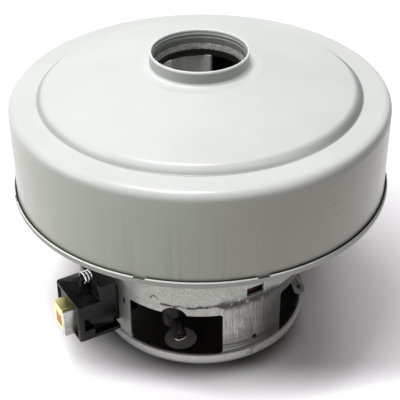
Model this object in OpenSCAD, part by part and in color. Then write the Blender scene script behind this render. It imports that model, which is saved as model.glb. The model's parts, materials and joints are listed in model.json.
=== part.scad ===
// Vacuum cleaner motor unit: a single-stage fan under a drawn sheet cover,
// driven by a brush motor in an open sheet frame with a brush holder on each side.
// The origin is at the middle of the rear boss, with the air inlet facing up.

/* [Fan cover] */
// Outer diameter of the cover's wall
cover_d = 132.8; // [128:0.2:150]
// Sheet thickness of the cover
cover_t = 0.8; // [0.6:0.1:1.2]
// Height of the cover's flat shoulder above the bracket plate
cover_h = 34.2; // [32:0.2:42]
// Outer radius of the shoulder bend
shoulder_r = 3.4; // [3:0.2:6]
// Width of the flat shoulder, from the wall to the foot of the ridge
shoulder_w = 10.2; // [8:0.2:12]
// Rise of the ridge above the shoulder
ridge_h = 2.5; // [1.5:0.1:4]
// Radial run of the ridge
ridge_run = 2.6; // [1.5:0.1:3]
// Rise of the cone from the ridge to the inlet ring
cone_h = 7.3; // [6:0.1:10]
// Width of the flat ring round the inlet neck
inlet_ring_w = 4.55; // [4:0.05:6]
// Outer diameter of the inlet neck
neck_d = 34.4; // [33:0.2:37]
// Height of the inlet neck above the flat ring
neck_h = 5.3; // [4:0.1:8]
// Bend radius at the foot of the neck
neck_bend = 1; // [0.6:0.1:1.5]

/* [Inlet seal] */
// Width of the felt seal outside the neck
seal_w = 3.3; // [2.6:0.1:3.8]
// Depth of the seal below the cover's flat ring
seal_h = 3; // [2:0.1:4]
// Width of the seal's lip inside the neck
seal_lip_w = 0.9; // [0.5:0.1:1.2]

/* [Front bracket] */
// Height of the bracket plate's underside above the rear boss
mouth_z = 61.8; // [58:0.2:70]
// Sheet thickness of the bracket
plate_t = 1; // [0.8:0.1:1.6]
// Height of the bracket's upturned lip
lip_h = 2.7; // [2:0.1:5]
// Thickness of the lip
lip_t = 0.5; // [0.4:0.1:1.2]
// Outer radius of the bend under the lip
lip_bend = 1.2; // [0.8:0.1:1.8]
// Width of the staked notches in the lip
stake_w = 4; // [2:0.2:5]
// Depth of the staked notches in the lip
stake_h = 0.7; // [0.6:0.1:1.4]
// Height of the front bearing's cup above the bracket plate's underside
cup_h = 9.7; // [8.5:0.1:12]
// Wall of the front bearing's cup
cup_t = 1; // [0.8:0.1:1.4]
// Number of air holes in the bracket
vent_n = 12; // [8:1:12]
// Diameter of each air hole in the bracket
vent_d = 11; // [8:0.5:12]
// Distance of the air holes' circle from the frame's inside
vent_in = 10.4; // [9:0.1:12]

/* [Air guide] */
// Room between the guide's disc and the cover's wall
guide_room = 5.1; // [4:0.1:6]
// Thickness of the guide's disc
guide_t = 2.2; // [1.6:0.1:3]
// Thickness of the guide's vanes
guide_vane_t = 1.6; // [1:0.1:2]
// Number of diffuser vanes round the impeller
diffuser_n = 15; // [9:1:19]
// Height of the diffuser vanes
diffuser_h = 10.5; // [6:0.5:12]
// Width of the diffuser's ring outside the impeller
diffuser_w = 8; // [7:0.1:10]
// Gap between the impeller's rim and the diffuser vanes
diffuser_gap = 2.2; // [1.6:0.1:3]
// Sweep of the diffuser vanes: tangential run for each unit of radial run
diffuser_sweep = 2.2; // [1.4:0.1:2.6]
// Number of return vanes under the disc
return_n = 12; // [8:1:14]
// Radius where the return vanes begin
return_r = 24; // [22:0.5:26]
// Sweep of the return vanes: tangential run for each unit of radial run
return_sweep = 0.9; // [0.5:0.1:1.2]
// Bore of the guide round the fan spacer
guide_bore_d = 15; // [14:0.5:18]
// Running gap between the guide and the impeller
guide_gap = 1.2; // [0.8:0.1:2]

/* [Impeller] */
// Sheet thickness of the impeller's plates
fan_t = 0.8; // [0.6:0.1:1.2]
// Width of the impeller's outlet
fan_outlet = 12; // [9:0.5:13]
// Gap between the impeller's rim and the level of the cover's shoulder
fan_clear = 0.6; // [0.4:0.1:1.5]
// Step of the impeller's eye inside the neck
eye_in = 1.4; // [1.2:0.1:2]
// Number of impeller vanes
fan_vane_n = 6; // [5:1:9]
// Thickness of the impeller's vanes
fan_vane_t = 1; // [0.8:0.1:1.4]
// Reach of the vanes into the eye
fan_vane_in = 0.5; // [0.2:0.1:2]
// Sweep of the vanes: tangential run for each unit of radial run
fan_vane_sweep = 1.9; // [1:0.1:2.4]

/* [Motor frame] */
// Outer diameter of the motor frame
frame_d = 76.8; // [76:0.2:80]
// Sheet thickness of the frame
frame_t = 1; // [0.8:0.1:1.4]
// Width of the flange at the frame's mouth
flange_w = 8.1; // [7.8:0.1:9]
// Bend radius under the flange
flange_bend = 2; // [1:0.1:2.5]
// Height of the windows
window_h = 18.1; // [15:0.1:19]
// Width of the windows, straight across
window_w = 35.2; // [30:0.2:35.4]
// Angle of the windows' middles from the brush axis
window_angle = 44; // [43:0.5:46]
// Corner radius of the windows
window_r = 1.2; // [0.8:0.1:2]
// Diameter of the round notch over each window
notch_d = 10.4; // [8:0.2:11]
// Rise of the notch above the window's edge
notch_h = 3; // [2:0.1:4]
// Distance of the notch from the window's middle, away from the brushes
notch_x = 0.7; // [0:0.1:2]
// Width of the slot that shows the field coil
slot_w = 7; // [5:0.1:9]
// Height of that slot
slot_h = 3.5; // [2:0.1:4.5]
// Height of the slot's middle above the rear boss
slot_z = 34.2; // [33:0.1:36]
// Diameter of the small locating holes in the frame
pilot_d = 2; // [1.5:0.1:3]
// Height of the locating holes above the rear boss
pilot_z = 12.8; // [11.5:0.1:15]

/* [Rear bracket] */
// Height of the rear bracket's plate above the boss
rear_plate_z = 3.4; // [3:0.1:5]
// Sheet thickness of the rear bracket
rear_t = 0.75; // [0.6:0.05:1]
// Height of the rear bracket's rim above its plate
rear_rim_h = 5; // [4.4:0.1:6]
// Outer radius of the bend round the rear plate
rear_bend = 2.5; // [1.5:0.1:3]
// Outer radius of the bend round the boss
boss_bend = 1.2; // [0.8:0.1:1.6]

/* [Rear tray] */
// Thickness of the insulating tray
tray_t = 1.6; // [1:0.1:2.2]
// Diameter of the round pads on the tray
tray_pad_d = 12; // [8:0.5:14]
// Height of the pads above the tray
tray_pad_h = 0.8; // [0.4:0.1:1.2]
// Distance of the pads' middles inside the frame's wall
tray_pad_in = 10.4; // [10:0.1:14]
// Angle of the pads from the brush axis
tray_pad_angle = 43.5; // [36:0.5:45]

/* [Bearings and shaft] */
// Diameter of the shaft, and bore of the front bearing
shaft_d = 8; // [7:0.5:9]
// Outer diameter of the front bearing
front_race_d = 22; // [20:0.5:24]
// Width of the front bearing
front_w = 7; // [5:0.5:8]
// Diameter of the shaft's rear journal, and bore of the rear bearing
journal_d = 7; // [6:0.5:7.5]
// Outer diameter of the rear bearing
rear_race_d = 19; // [17:0.5:20]
// Width of the rear bearing
rear_w = 6; // [5:0.5:7]
// Number of balls in each bearing
ball_n = 7; // [6:1:8]
// Outer diameter of the spacer between bearing and impeller
spacer_d = 12; // [11:0.5:12.5]
// Width across the flats of the impeller's nut
nut_af = 13; // [12:0.5:14]
// Height of the nut
nut_h = 6.5; // [5:0.5:8]
// Diameter of the washer under the nut
washer_d = 22; // [18:0.5:24]
// Thickness of the washer
washer_t = 1.2; // [0.8:0.1:2]
// Height of the shaft's collar under the front bearing
collar_h = 2.5; // [2:0.1:3]
// Length of shaft that stands out of the nut
shaft_end = 2.5; // [1:0.5:4]

/* [Field] */
// Depth of the core's two flats
core_flat_in = 4.4; // [3:0.1:6]
// Width of each pole's neck
pole_w = 24; // [22:0.5:25]
// Thickness of the pole shoes
shoe_t = 3.5; // [2.5:0.1:4]
// Outer width of the coil slots, from side to side
coil_slot_w = 52; // [50:0.5:53]
// Depth of the coil slots, along the poles
coil_slot_h = 35; // [32:0.5:36]
// Opening between the pole tips
tip_gap = 12; // [8:0.5:14]
// Thickness of the end insulators
insulator_t = 1; // [0.8:0.1:1.4]
// Height of the coils' rear end turns
coil_rear_h = 5.5; // [4:0.1:6]
// Height of the coils' front end turns
coil_front_h = 4.2; // [3:0.1:5]
// Room between the coils' end turns and the frame
coil_room = 1.9; // [1.5:0.1:3]
// Half angle of the coils' inner end turns
coil_inner_half = 62; // [58:1:64]
// Half angle of the coils' outer end turns
coil_outer_half = 38; // [34:1:42]
// Thickness of the coils' inner end turns
coil_inner_t = 4.5; // [4:0.1:5]

/* [Armature] */
// Diameter of the armature
armature_d = 37; // [35:0.2:38]
// Air gap between armature and poles
air_gap = 0.5; // [0.4:0.05:0.8]
// Number of armature slots
slot_n = 12; // [10:2:14]
// Diameter of the round part of each armature slot
arm_slot_d = 4.6; // [4:0.1:5]
// Width of each armature slot's mouth
arm_mouth_w = 1.6; // [1:0.1:2]
// Length of the winding between commutator and core
wind_rear_h = 8.5; // [7.5:0.1:10]
// Length of the winding in front of the core
wind_front_h = 4.8; // [4:0.1:5.2]

/* [Commutator] */
// Diameter of the commutator's running face
com_d = 23; // [21:0.2:24]
// Length of the commutator
com_h = 13.5; // [12:0.1:15]
// Diameter of the commutator's insulating hub
com_hub_d = 16; // [14:0.2:17]
// Number of commutator bars
com_n = 24; // [20:2:28]
// Gap between bars
com_gap = 0.4; // [0.3:0.05:0.6]

/* [Brush gear] */
// Height of the brush axis above the rear boss
brush_z = 20.75; // [20:0.05:22]
// Width of a carbon brush
brush_w = 5.1; // [4.6:0.1:6]
// Height of a carbon brush
brush_h = 7.9; // [7.5:0.1:9]
// Length of a carbon brush
brush_len = 24; // [18:0.5:26]
// Gap between brush and commutator
brush_gap = 0.3; // [0.2:0.05:0.5]
// Wall of the brass brush tube
tube_t = 0.8; // [0.5:0.05:1]
// Length of tube that stands out of the holder
tube_out = 3.8; // [3:0.1:5]
// Gap between the tube's inner end and the commutator's face
tube_gap = 3; // [2.4:0.1:4]
// Length of the holder beyond its tall back
ledge_len = 8.8; // [7:0.1:10]
// Width of the holder
holder_w = 19.5; // [18:0.1:21]
// Height of the holder
holder_h = 15.9; // [15:0.1:16.5]
// Thickness of the holder's tall back, out from the frame
tall_t = 9.3; // [8:0.1:10]
// Height of the tall back above the holder
tall_h = 6.3; // [5:0.1:7]
// Distance of the tall back's far end from the holder's side
tall_in = 3.3; // [2:0.1:4]
// Gap between the holder's back and the frame
back_gap = 2.8; // [2:0.1:3.5]
// Reach of the holder's floor behind its back
floor_out = 1.1; // [0.5:0.1:1.5]
// Thickness of that floor under the side pockets
floor_t = 1.5; // [1:0.1:2]
// Corner radius of the holder
holder_r = 1.2; // [0.8:0.1:2]
// Wall of the holder's sleeve inside the frame
sleeve_t = 1.2; // [0.8:0.1:1.6]
// Length of the pocket in each of the holder's sides, from the holder's back
pocket_len = 9.1; // [8:0.1:10]
// Height of that pocket at the holder's back
pocket_h = 6.6; // [5:0.1:7.5]
// Rise of the pocket's ceiling towards its outer end
pocket_rise = 1.7; // [1:0.1:2]
// Depth of the pockets in the holder's sides
pocket_t = 3.2; // [2:0.1:3.4]
// Length of the pocket's raised outer end
step_len = 3.9; // [3:0.1:4.4]
// Rise of the floor in that outer end
step_up = 2.9; // [2:0.1:3.5]
// Height of the rib under the pocket's ceiling
rib_h = 1; // [0.6:0.1:1.4]
// Gap between that rib and the ceiling
rib_gap = 0.6; // [0.4:0.1:1]
// Step of the rib behind the holder's side
rib_in = 0.8; // [0.5:0.1:1.5]
// Depth of the recessed panel in the holder's outer face
panel_t = 0.8; // [0.4:0.1:1.2]
// Width of the rim round that panel
panel_rim = 1.2; // [0.8:0.1:1.6]
// Gap between the tube and the brush terminal
blade_gap = 0.9; // [0.6:0.1:1.2]
// Thickness of the brush terminal
blade_t = 0.8; // [0.6:0.1:1]
// Height of the brush terminal
blade_h = 10.8; // [10:0.1:11.5]
// Wire diameter of the brush spring
spring_wire = 0.6; // [0.4:0.05:0.8]
// Outer diameter of the brush spring
spring_d = 4.8; // [4:0.1:5]
// Number of turns of the brush spring
spring_n = 9; // [6:1:11]
// Thickness of the plate that closes the tube
cap_t = 0.7; // [0.5:0.1:1.2]
// Depth of that plate inside the tube's end
cap_in = 0.2; // [0.1:0.1:1]

/* [Brush lead] */
// Diameter of the tinned lead
lead_d = 0.75; // [0.6:0.05:0.8]
// Number of full turns round its post, before the last half turn
lead_n = 2; // [1:1:3]
// Pitch of the turns
lead_pitch = 1.25; // [1.2:0.05:1.5]
// Radius of the turns at the wire's middle
lead_r = 2.2; // [2.1:0.05:2.4]
// Diameter of the post
lead_post_d = 3; // [2:0.1:3.2]
// Distance of the post from the holder's middle plane
lead_y = 0; // [-2:0.1:2]
// Height of the post's middle above the holder's ledge
lead_up = 4.7; // [4:0.1:4.8]
// Depth of the bay in the tall back that the turns stand in
bay_t = 1.5; // [1:0.1:2]

/* [Terminals] */
// Width of a spade terminal
tab_w = 4.8; // [4:0.1:6.3]
// Thickness of a spade terminal
tab_t = 0.8; // [0.5:0.1:1]
// Length of a spade terminal
tab_len = 11.5; // [10:0.5:12]
// Diameter of the hole near the terminal's tip
tab_hole_d = 1.4; // [1:0.1:1.8]
// Distance of the hole from the terminal's tip
tab_hole_in = 2.6; // [2:0.1:3]
// Lean of the terminals out of the windows
tab_lean = 42; // [36:1:46]
// Distance of the terminals' roots inside the frame's wall
tab_in = 4.1; // [3.8:0.1:4.6]
// Angle of the terminals' roots below the brush axis
tab_angle = 41; // [39:0.5:43]
// Diameter of the insulating boss that holds a terminal
boss_d = 7; // [6.4:0.1:7.4]
// Height of that boss's lower end above the rear boss
tab_boss_z = 19; // [18:0.1:22]

/* [Fasteners] */
// Shank diameter of the housing screws
screw_d = 3; // [2.5:0.1:3.5]
// Head diameter of the housing screws
screw_head_d = 5.6; // [5:0.1:5.8]
// Head height of the housing screws
screw_head_h = 2.2; // [1.6:0.1:3]
// Distance of the frame screws out from the frame's wall
frame_screw_out = 4.9; // [4.8:0.1:5.1]
// Gap between the air guide screws' heads and the frame's flange
guide_screw_out = 2.7; // [2:0.1:4]
// Number of air guide screws
guide_screw_n = 3; // [3:1:4]
// Length of the air guide screws in their posts
guide_screw_len = 12; // [8:0.5:14]

/* [Fits] */
// Clearance of pieces that are pressed or set together
fit = 0.03; // [0.02:0.01:0.05]
// Clearance of pieces that slide
slide = 0.1; // [0.05:0.01:0.12]
// Clearance between the cover and the lip round it
cover_gap = 0.6; // [0.1:0.05:0.8]

/* [Hidden] */
$fn = 96;
STEEL = [0.66, 0.67, 0.65];
PAINT = [0.86, 0.87, 0.85];
BLACK = [0.08, 0.08, 0.09];
COPPER = [0.72, 0.38, 0.2];
BRASS = [0.82, 0.68, 0.35];
TIN = [0.62, 0.63, 0.64];
FELT = [0.5, 0.49, 0.47];
ALUMINIUM = [0.8, 0.8, 0.81];
CARBON = [0.15, 0.14, 0.14];

// Depth that shapes of one piece run into each other
overlap = 0.5;
// Length that cutting shapes run past a face
past = 1;
// Room between pieces that do not touch
room = 0.4;
// Small chamfer on rims
rim = 0.3;
// Angle of the first air guide screw
guide_screw_at = 30;

// Levels along the axis, from the boss up
rear_plate_top = rear_plate_z + rear_t;
rear_rim_z = rear_plate_z + rear_rim_h;
plate_z = mouth_z + plate_t;
lip_z = mouth_z + lip_h;
shoulder_z = plate_z + cover_h;
ring_z = shoulder_z + ridge_h + cone_h;
neck_z = ring_z + neck_h;
fan_edge_z = shoulder_z - cover_t - fan_clear;
fan_back_z = fan_edge_z - fan_t - fan_outlet;
fan_floor_z = fan_back_z - fan_t;
guide_top_z = fan_floor_z - guide_gap;
guide_z = guide_top_z - guide_t;
seal_lip_t = 0.9;
eye_gap = 0.35;
eye_room = 0.9;
eye_bend = 0.8;
eye_z = ring_z - cover_t - seal_lip_t - eye_gap;
seal_z = ring_z - cover_t - seal_h;
cup_z = mouth_z + cup_h;
front_z = cup_z - cup_t - front_w;
rear_z = boss_bend;
nut_z = fan_back_z + washer_t;
shaft_z = nut_z + nut_h + shaft_end;
com_z = brush_z - com_h / 2;
com_top = brush_z + com_h / 2;
core_z = com_top + wind_rear_h;
core_top = mouth_z - room - coil_front_h - insulator_t;

// Radii
frame_r = frame_d / 2;
frame_in = frame_r - frame_t;
rear_r = frame_r + fit + rear_t;
boss_r = rear_race_d / 2 + fit + rear_t;
lip_r = cover_d / 2 + cover_gap + lip_t;
cup_in = front_race_d / 2 + fit;
neck_in = neck_d / 2 - cover_t;
shaft_r = shaft_d / 2;
armature_r = armature_d / 2;
bore_r = armature_r + air_gap;
arm_tip_t = 2;
arm_slot_r = armature_r - arm_slot_d / 2 - arm_tip_t;
core_r = frame_in - fit;
eye_r = neck_in - eye_in;
ridge_r = cover_d / 2 - shoulder_w;
inlet_ring_r = neck_d / 2 + inlet_ring_w;
seal_r = neck_d / 2 + seal_w;
seal_bore_r = neck_in - seal_lip_w;
guide_r = cover_d / 2 - cover_t - guide_room;
fan_r = guide_r - diffuser_w;
fan_vane_r = eye_r - fan_vane_in;
vent_r = frame_in - vent_in;
flange_r = frame_r + flange_w;
frame_screw_r = frame_r + frame_screw_out;
guide_screw_r = flange_r + guide_screw_out + screw_head_d / 2;
coil_r = frame_in - coil_room;
tray_pad_r = frame_r - tray_pad_in;
tab_r = frame_r - tab_in;
tab_x = tab_r * cos(tab_angle);
tab_y = tab_r * sin(tab_angle);

// Share of a bearing's section taken by the ball, its gap to the races, the shields and the cage
ball_share = 0.14;
race_gap = 0.3;
shield_t = 0.5;
shield_gap = 0.1;
cage_t = 1;
cage_h = 1.2;

// Root of the terminals, and the offset of each boss from it
tab_hold = 6;
tab_root_z = tab_boss_z + tab_hold;
tab_boss_in = 0.9;
tab_boss_back = 0.7;

// Length of the brush terminal in the holder's back, and its reach past the tube
blade_hold = 3;
blade_over = 0.2;
// Length of the holder's sleeve inside the frame
sleeve_len = 7;

// Brush gear, in the frame of the holder on the +X side
tall_end = frame_r + tall_t;
holder_end = tall_end + ledge_len;
tube_end = holder_end + tube_out;
tube_start = com_d / 2 + tube_gap;
tube_w = brush_w + 2 * (slide + tube_t);
tube_h = brush_h + 2 * (slide + tube_t);
holder_lift = 0.2;
holder_z = brush_z - holder_h / 2 + holder_lift;
holder_top = holder_z + holder_h;
tall_top = holder_top + tall_h;
brush_face = com_d / 2 + brush_gap;
brush_back = brush_face + brush_len;
blade_y = tube_w / 2 + blade_gap;
blade_z = brush_z + tube_h / 2 - room - blade_h;
blade_start = tall_end - blade_hold;
blade_end = tube_end + blade_over;
sleeve_in = frame_in - sleeve_len;
sleeve_w = tube_w + 2 * (fit + sleeve_t);
sleeve_h = tube_h + 2 * (fit + sleeve_t);
back_x = frame_r + back_gap;
seat_z = brush_z + sleeve_h / 2 + sleeve_t;
pocket_z = holder_z + floor_t;
pocket_x = back_x + pocket_len;
step_x = pocket_x + step_len;
cap_x = tube_end - cap_in - cap_t;
bay_x = tall_end - bay_t;
bay_w = 2 * (lead_r + lead_d / 2 + room);
lead_x = bay_x + lead_d / 2 + slide;
lead_z = holder_top + lead_up;
lead_run = (lead_n + 0.5) * lead_pitch;

// Points in each turn of the lead and of the spring
lead_steps = 24;
spring_steps = 8;

// Points on an arc about c, from angle a to angle b
function arc(c, r, a, b, n = 8) =
  [for (i = [0 : n]) let (t = a + (b - a) * i / n) c + r * [cos(t), sin(t)]];

function reversed(list) = [for (i = [len(list) - 1 : -1 : 0]) list[i]];

// A wall of sheet between two offsets of one path, turned round the axis
module turned_sheet(near, far) {
  rotate_extrude() polygon(concat(near, reversed(far)));
}

module ring(r_in, r_out, z, h) {
  translate([0, 0, z]) difference() {
    cylinder(r = r_out, h = h);
    translate([0, 0, -past]) cylinder(r = r_in, h = h + 2 * past);
  }
}

// Copies of the children round the axis
module around(n, start = 0) {
  for (i = [0 : n - 1]) rotate(start + i * 360 / n) children();
}

// Point beside a spiral that ends at radius r1, a distance s to its left
function spiral_point(r, s, r1, sweep) =
  let (
    angle = sweep * ln(r / r1) * 180 / PI,
    long = sqrt(1 + sweep * sweep),
    out = r - s * sweep / long,
    side = s / long
  )
  [out * cos(angle) - side * sin(angle), out * sin(angle) + side * cos(angle)];

// Plan of a curved vane from radius r0 to r1
module vane_plan(r0, r1, t, sweep, n = 14) {
  radii = [for (i = [0 : n]) r0 * pow(r1 / r0, i / n)];
  polygon(concat(
    [for (r = radii) spiral_point(r, t / 2, r1, sweep)],
    [for (r = reversed(radii)) spiral_point(r, -t / 2, r1, sweep)]
  ));
}

// Unit vector
function unit(v) = v / norm(v);

// Rings of a tube along a path that runs square to the X axis almost everywhere
function tube_points(path, r, sides = 6) =
  let (last = len(path) - 1)
  [for (i = [0 : last], k = [0 : sides - 1])
    let (
      along = unit(path[min(i + 1, last)] - path[max(i - 1, 0)]),
      u = unit(cross(along, [1, 0, 0])),
      v = cross(along, u),
      a = 360 * k / sides
    )
    path[i] + r * (cos(a) * u + sin(a) * v)];

function tube_faces(n, sides = 6) = concat(
  [for (i = [0 : n - 2], k = [0 : sides - 1])
    [i * sides + k, (i + 1) * sides + (k + 1) % sides, i * sides + (k + 1) % sides]],
  [for (i = [0 : n - 2], k = [0 : sides - 1])
    [i * sides + k, (i + 1) * sides + k, (i + 1) * sides + (k + 1) % sides]],
  [[for (k = [0 : sides - 1]) k]],
  [[for (k = [sides - 1 : -1 : 0]) (n - 1) * sides + k]]
);

module tube_along(path, r) {
  polyhedron(points = tube_points(path, r), faces = tube_faces(len(path)), convexity = 8);
}

// Least gap of a tube to itself, over pairs of points more than half a turn apart
function self_gap(path, d, apart) =
  min([for (i = [0 : len(path) - 1 - apart], j = [i + apart : len(path) - 1])
    norm(path[i] - path[j])]) - d;

// Fan cover: one drawn shell with a ridge, a shallow cone and the inlet neck
function cover_path(in) = concat(
  [[cover_d / 2 - in, plate_z]],
  arc([cover_d / 2 - shoulder_r, shoulder_z - shoulder_r], shoulder_r - in, 0, 90),
  [
    [ridge_r, shoulder_z - in],
    [ridge_r - ridge_run, shoulder_z + ridge_h - in],
    [inlet_ring_r, ring_z - in]
  ],
  arc([neck_d / 2 + neck_bend, ring_z + neck_bend], neck_bend + in, 270, 180)
);

module fan_cover() {
  rim = arc([neck_d / 2 - cover_t / 2, neck_z - cover_t / 2], cover_t / 2, 0, 180);
  color(PAINT) turned_sheet(concat(cover_path(0), rim), cover_path(cover_t));
}

// Felt ring under the cover's flat ring, with a lip over the impeller's eye
module inlet_seal() {
  flat = ring_z - cover_t;
  color(FELT) rotate_extrude() polygon([
    [seal_bore_r, flat - seal_lip_t],
    [eye_r + fan_t + eye_room, flat - seal_lip_t],
    [eye_r + fan_t + eye_room, seal_z],
    [seal_r, seal_z],
    [seal_r, flat],
    [neck_in + cover_t + neck_bend, flat],
    [neck_in - fit, flat],
    [neck_in - fit, ring_z]
  ]);
}

// Air guide: a disc with diffuser vanes above and return vanes below
module air_guide() {
  post_d = screw_head_d + room;
  rise = guide_z - plate_z + overlap;
  color(BLACK) difference() {
    union() {
      ring(guide_bore_d / 2, guide_r, guide_z, guide_t);
      translate([0, 0, guide_top_z - overlap]) around(diffuser_n) linear_extrude(diffuser_h + overlap)
        vane_plan(fan_r + diffuser_gap, guide_r - room, guide_vane_t, -diffuser_sweep, 6);
      translate([0, 0, plate_z]) around(return_n) linear_extrude(rise)
        vane_plan(return_r, guide_r - guide_vane_t, guide_vane_t, return_sweep, 8);
      around(guide_screw_n, guide_screw_at) translate([guide_screw_r, 0, plate_z])
        cylinder(d = post_d, h = rise);
    }
    around(guide_screw_n, guide_screw_at) translate([guide_screw_r, 0, plate_z - past])
      cylinder(d = screw_d + 2 * fit, h = guide_screw_len + 2 * past);
  }
}

// Pan head screw that points up from z = 0, where its head seats
module screw(long) {
  translate([0, 0, -screw_head_h]) cylinder(d = screw_head_d, h = screw_head_h);
  cylinder(d = screw_d, h = long);
}

module air_guide_screws() {
  color(STEEL) around(guide_screw_n, guide_screw_at) translate([guide_screw_r, 0, mouth_z])
    screw(plate_t + guide_screw_len);
}

// Front bracket: plate with air holes, bearing cup and upturned lip
module front_bracket() {
  stakes = [166, 223, 257, 346, 43, 77];
  color(STEEL) difference() {
    rotate_extrude() polygon(concat(
      [[cup_in, mouth_z]],
      arc([lip_r - lip_bend, mouth_z + lip_bend], lip_bend, 270, 360, 5),
      [
        [lip_r, lip_z - rim],
        [lip_r - rim, lip_z],
        [lip_r - lip_t, lip_z],
        [lip_r - lip_t, plate_z],
        [cup_in + cup_t, plate_z],
        [cup_in + cup_t, cup_z],
        [spacer_d / 2 + cup_t, cup_z],
        [spacer_d / 2 + cup_t, cup_z - cup_t],
        [cup_in, cup_z - cup_t]
      ]
    ));
    around(vent_n) translate([vent_r, 0, mouth_z - past])
      cylinder(d = vent_d, h = plate_t + 2 * past);
    around(4, 45) translate([frame_screw_r, 0, mouth_z - past])
      cylinder(d = screw_d + 2 * fit, h = plate_t + 2 * past);
    around(guide_screw_n, guide_screw_at) translate([guide_screw_r, 0, mouth_z - past])
      cylinder(d = screw_d + 2 * fit, h = plate_t + 2 * past);
    for (a = stakes) rotate(a) translate([lip_r, 0, lip_z])
      cube([2 * lip_t + cover_gap, stake_w, 2 * stake_h], center = true);
  }
}

// Plan of a window as seen from outside, standing on z = 0 with its notch on top
module window_plan() {
  half = window_w / 2 - window_r;
  for (x = [-half, half], y = [window_r, window_h - window_r])
    translate([x, y]) circle(window_r);
  translate([-half, 0]) square([2 * half, window_h]);
  translate([-window_w / 2, window_r]) square([window_w, window_h - 2 * window_r]);
  translate([notch_x, window_h + notch_h - notch_d / 2]) circle(d = notch_d);
}

// Cuts a plan through the frame's wall on the +X side, upright
module wall_cut(z) {
  translate([frame_in / 2, 0, z]) rotate([90, 0, 90]) linear_extrude(frame_r) children();
}

function frame_path(in) = concat(
  [[frame_r - in, rear_plate_z + rear_bend]],
  arc([frame_r + flange_bend, mouth_z - frame_t - flange_bend], flange_bend + in, 180, 90),
  [[flange_r, mouth_z - frame_t + in]]
);

// Motor frame: drawn sheet with four windows and a flange at its mouth
module motor_frame() {
  color(STEEL) difference() {
    turned_sheet(frame_path(0), frame_path(frame_t));
    for (side = [0, 1]) mirror([side, 0, 0]) around(2, window_angle) wall_cut(rear_rim_z) window_plan();
    around(2, 90) wall_cut(slot_z) square([slot_w, slot_h], center = true);
    around(2, 90) wall_cut(pilot_z) circle(d = pilot_d);
    around(2) wall_cut(brush_z) square([sleeve_w + 2 * slide, sleeve_h + 2 * slide], center = true);
    around(4, 45) translate([frame_screw_r, 0, mouth_z - frame_t - past])
      cylinder(d = screw_d + 2 * slide, h = frame_t + 2 * past);
  }
}

module frame_screws() {
  color(STEEL) around(4, 45) translate([frame_screw_r, 0, mouth_z - frame_t])
    screw(frame_t + plate_t);
}

// Rear bracket: shallow pressed cup with the rear bearing's boss
function rear_path(in) = concat(
  [[0, in]],
  arc([boss_r - boss_bend, boss_bend], boss_bend - in, 270, 360, 5),
  [[boss_r - in, rear_plate_z + in]],
  arc([rear_r - rear_bend, rear_plate_z + rear_bend], rear_bend - in, 270, 360),
  [[rear_r - in, rear_rim_z]]
);

module rear_bracket() {
  color(STEEL) turned_sheet(rear_path(0), rear_path(rear_t));
}

// Insulating tray on the rear bracket, with a round pad under each window
module rear_tray() {
  color(BLACK) {
    ring(rear_race_d / 2 + room, rear_r - rear_bend, rear_plate_top, tray_t);
    for (a = [tray_pad_angle, 180 - tray_pad_angle]) around(2, a)
      translate([tray_pad_r, 0, rear_plate_top + tray_t / 2])
        cylinder(d = tray_pad_d, h = tray_t / 2 + tray_pad_h);
  }
}

// Plan of the field core: two poles on the Y axis and a coil slot on each side
module core_plan(hole_r) {
  difference() {
    intersection() {
      circle(core_r);
      square([2 * (core_r - core_flat_in), 2 * core_r + past], center = true);
    }
    circle(hole_r);
    difference() {
      square([coil_slot_w, coil_slot_h], center = true);
      square([pole_w, coil_slot_h + past], center = true);
      circle(bore_r + shoe_t);
    }
    square([coil_slot_w, tip_gap], center = true);
  }
}

module stator_core() {
  color(STEEL) translate([0, 0, core_z]) linear_extrude(core_top - core_z) core_plan(bore_r);
}

// Plan of a ring's sector, centred on the -Y direction
module sector(r_in, r_out, half_angle) {
  far = 2 * r_out;
  side = far * sin(half_angle);
  ahead = far * cos(half_angle);
  difference() {
    intersection() {
      circle(r_out);
      polygon([[0, 0], [-side, -ahead], [0, -far], [side, -ahead]]);
    }
    circle(r_in);
  }
}

// Field coil on the -Y pole: two legs in the slots and end turns across the pole
module field_coil() {
  turn_in = bore_r + shoe_t + overlap;
  rear_low = core_z - insulator_t - coil_rear_h;
  front_low = core_top + insulator_t;
  leg_x = pole_w / 2 + room;
  leg_w = coil_slot_w / 2 - room - leg_x;
  leg_y = tip_gap / 2 + room;
  leg_h = coil_slot_h / 2 - room - leg_y;
  color(COPPER) {
    translate([0, 0, rear_low + overlap]) linear_extrude(front_low - rear_low) difference() {
      for (side = [0, 1]) mirror([side, 0]) translate([leg_x, -leg_y - leg_h]) square([leg_w, leg_h]);
      circle(turn_in + overlap);
    }
    for (end = [[rear_low, coil_rear_h], [front_low, coil_front_h]])
      translate([0, 0, end[0]]) linear_extrude(end[1]) {
        sector(turn_in, turn_in + coil_inner_t, coil_inner_half);
        sector(turn_in, coil_r, coil_outer_half);
      }
  }
}

// Front coil, which leaves room round the bosses of the spade terminals
module field_coil_front() {
  color(COPPER) difference() {
    field_coil();
    for (side = [-1, 1]) tab_boss(side, room);
  }
}

module field_coil_back() { rotate(180) field_coil(); }

module field_insulator_front() {
  color(BLACK) translate([0, 0, core_top]) linear_extrude(insulator_t) core_plan(bore_r + overlap);
}

// Round boss under the rear insulator, which holds a spade terminal
module tab_boss(side, grow) {
  translate([side * (tab_x - tab_boss_in), tab_boss_back - tab_y, tab_boss_z - grow])
    cylinder(r = boss_d / 2 + grow, h = core_z - insulator_t / 2 - tab_boss_z + 2 * grow);
}

// Rear insulator: end plate with a round boss for each spade terminal
module field_insulator_rear() {
  color(BLACK) difference() {
    union() {
      translate([0, 0, core_z - insulator_t]) linear_extrude(insulator_t) core_plan(bore_r + overlap);
      for (side = [-1, 1]) tab_boss(side, 0);
    }
    for (side = [-1, 1]) tab_blade(side, fit);
  }
}

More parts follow.
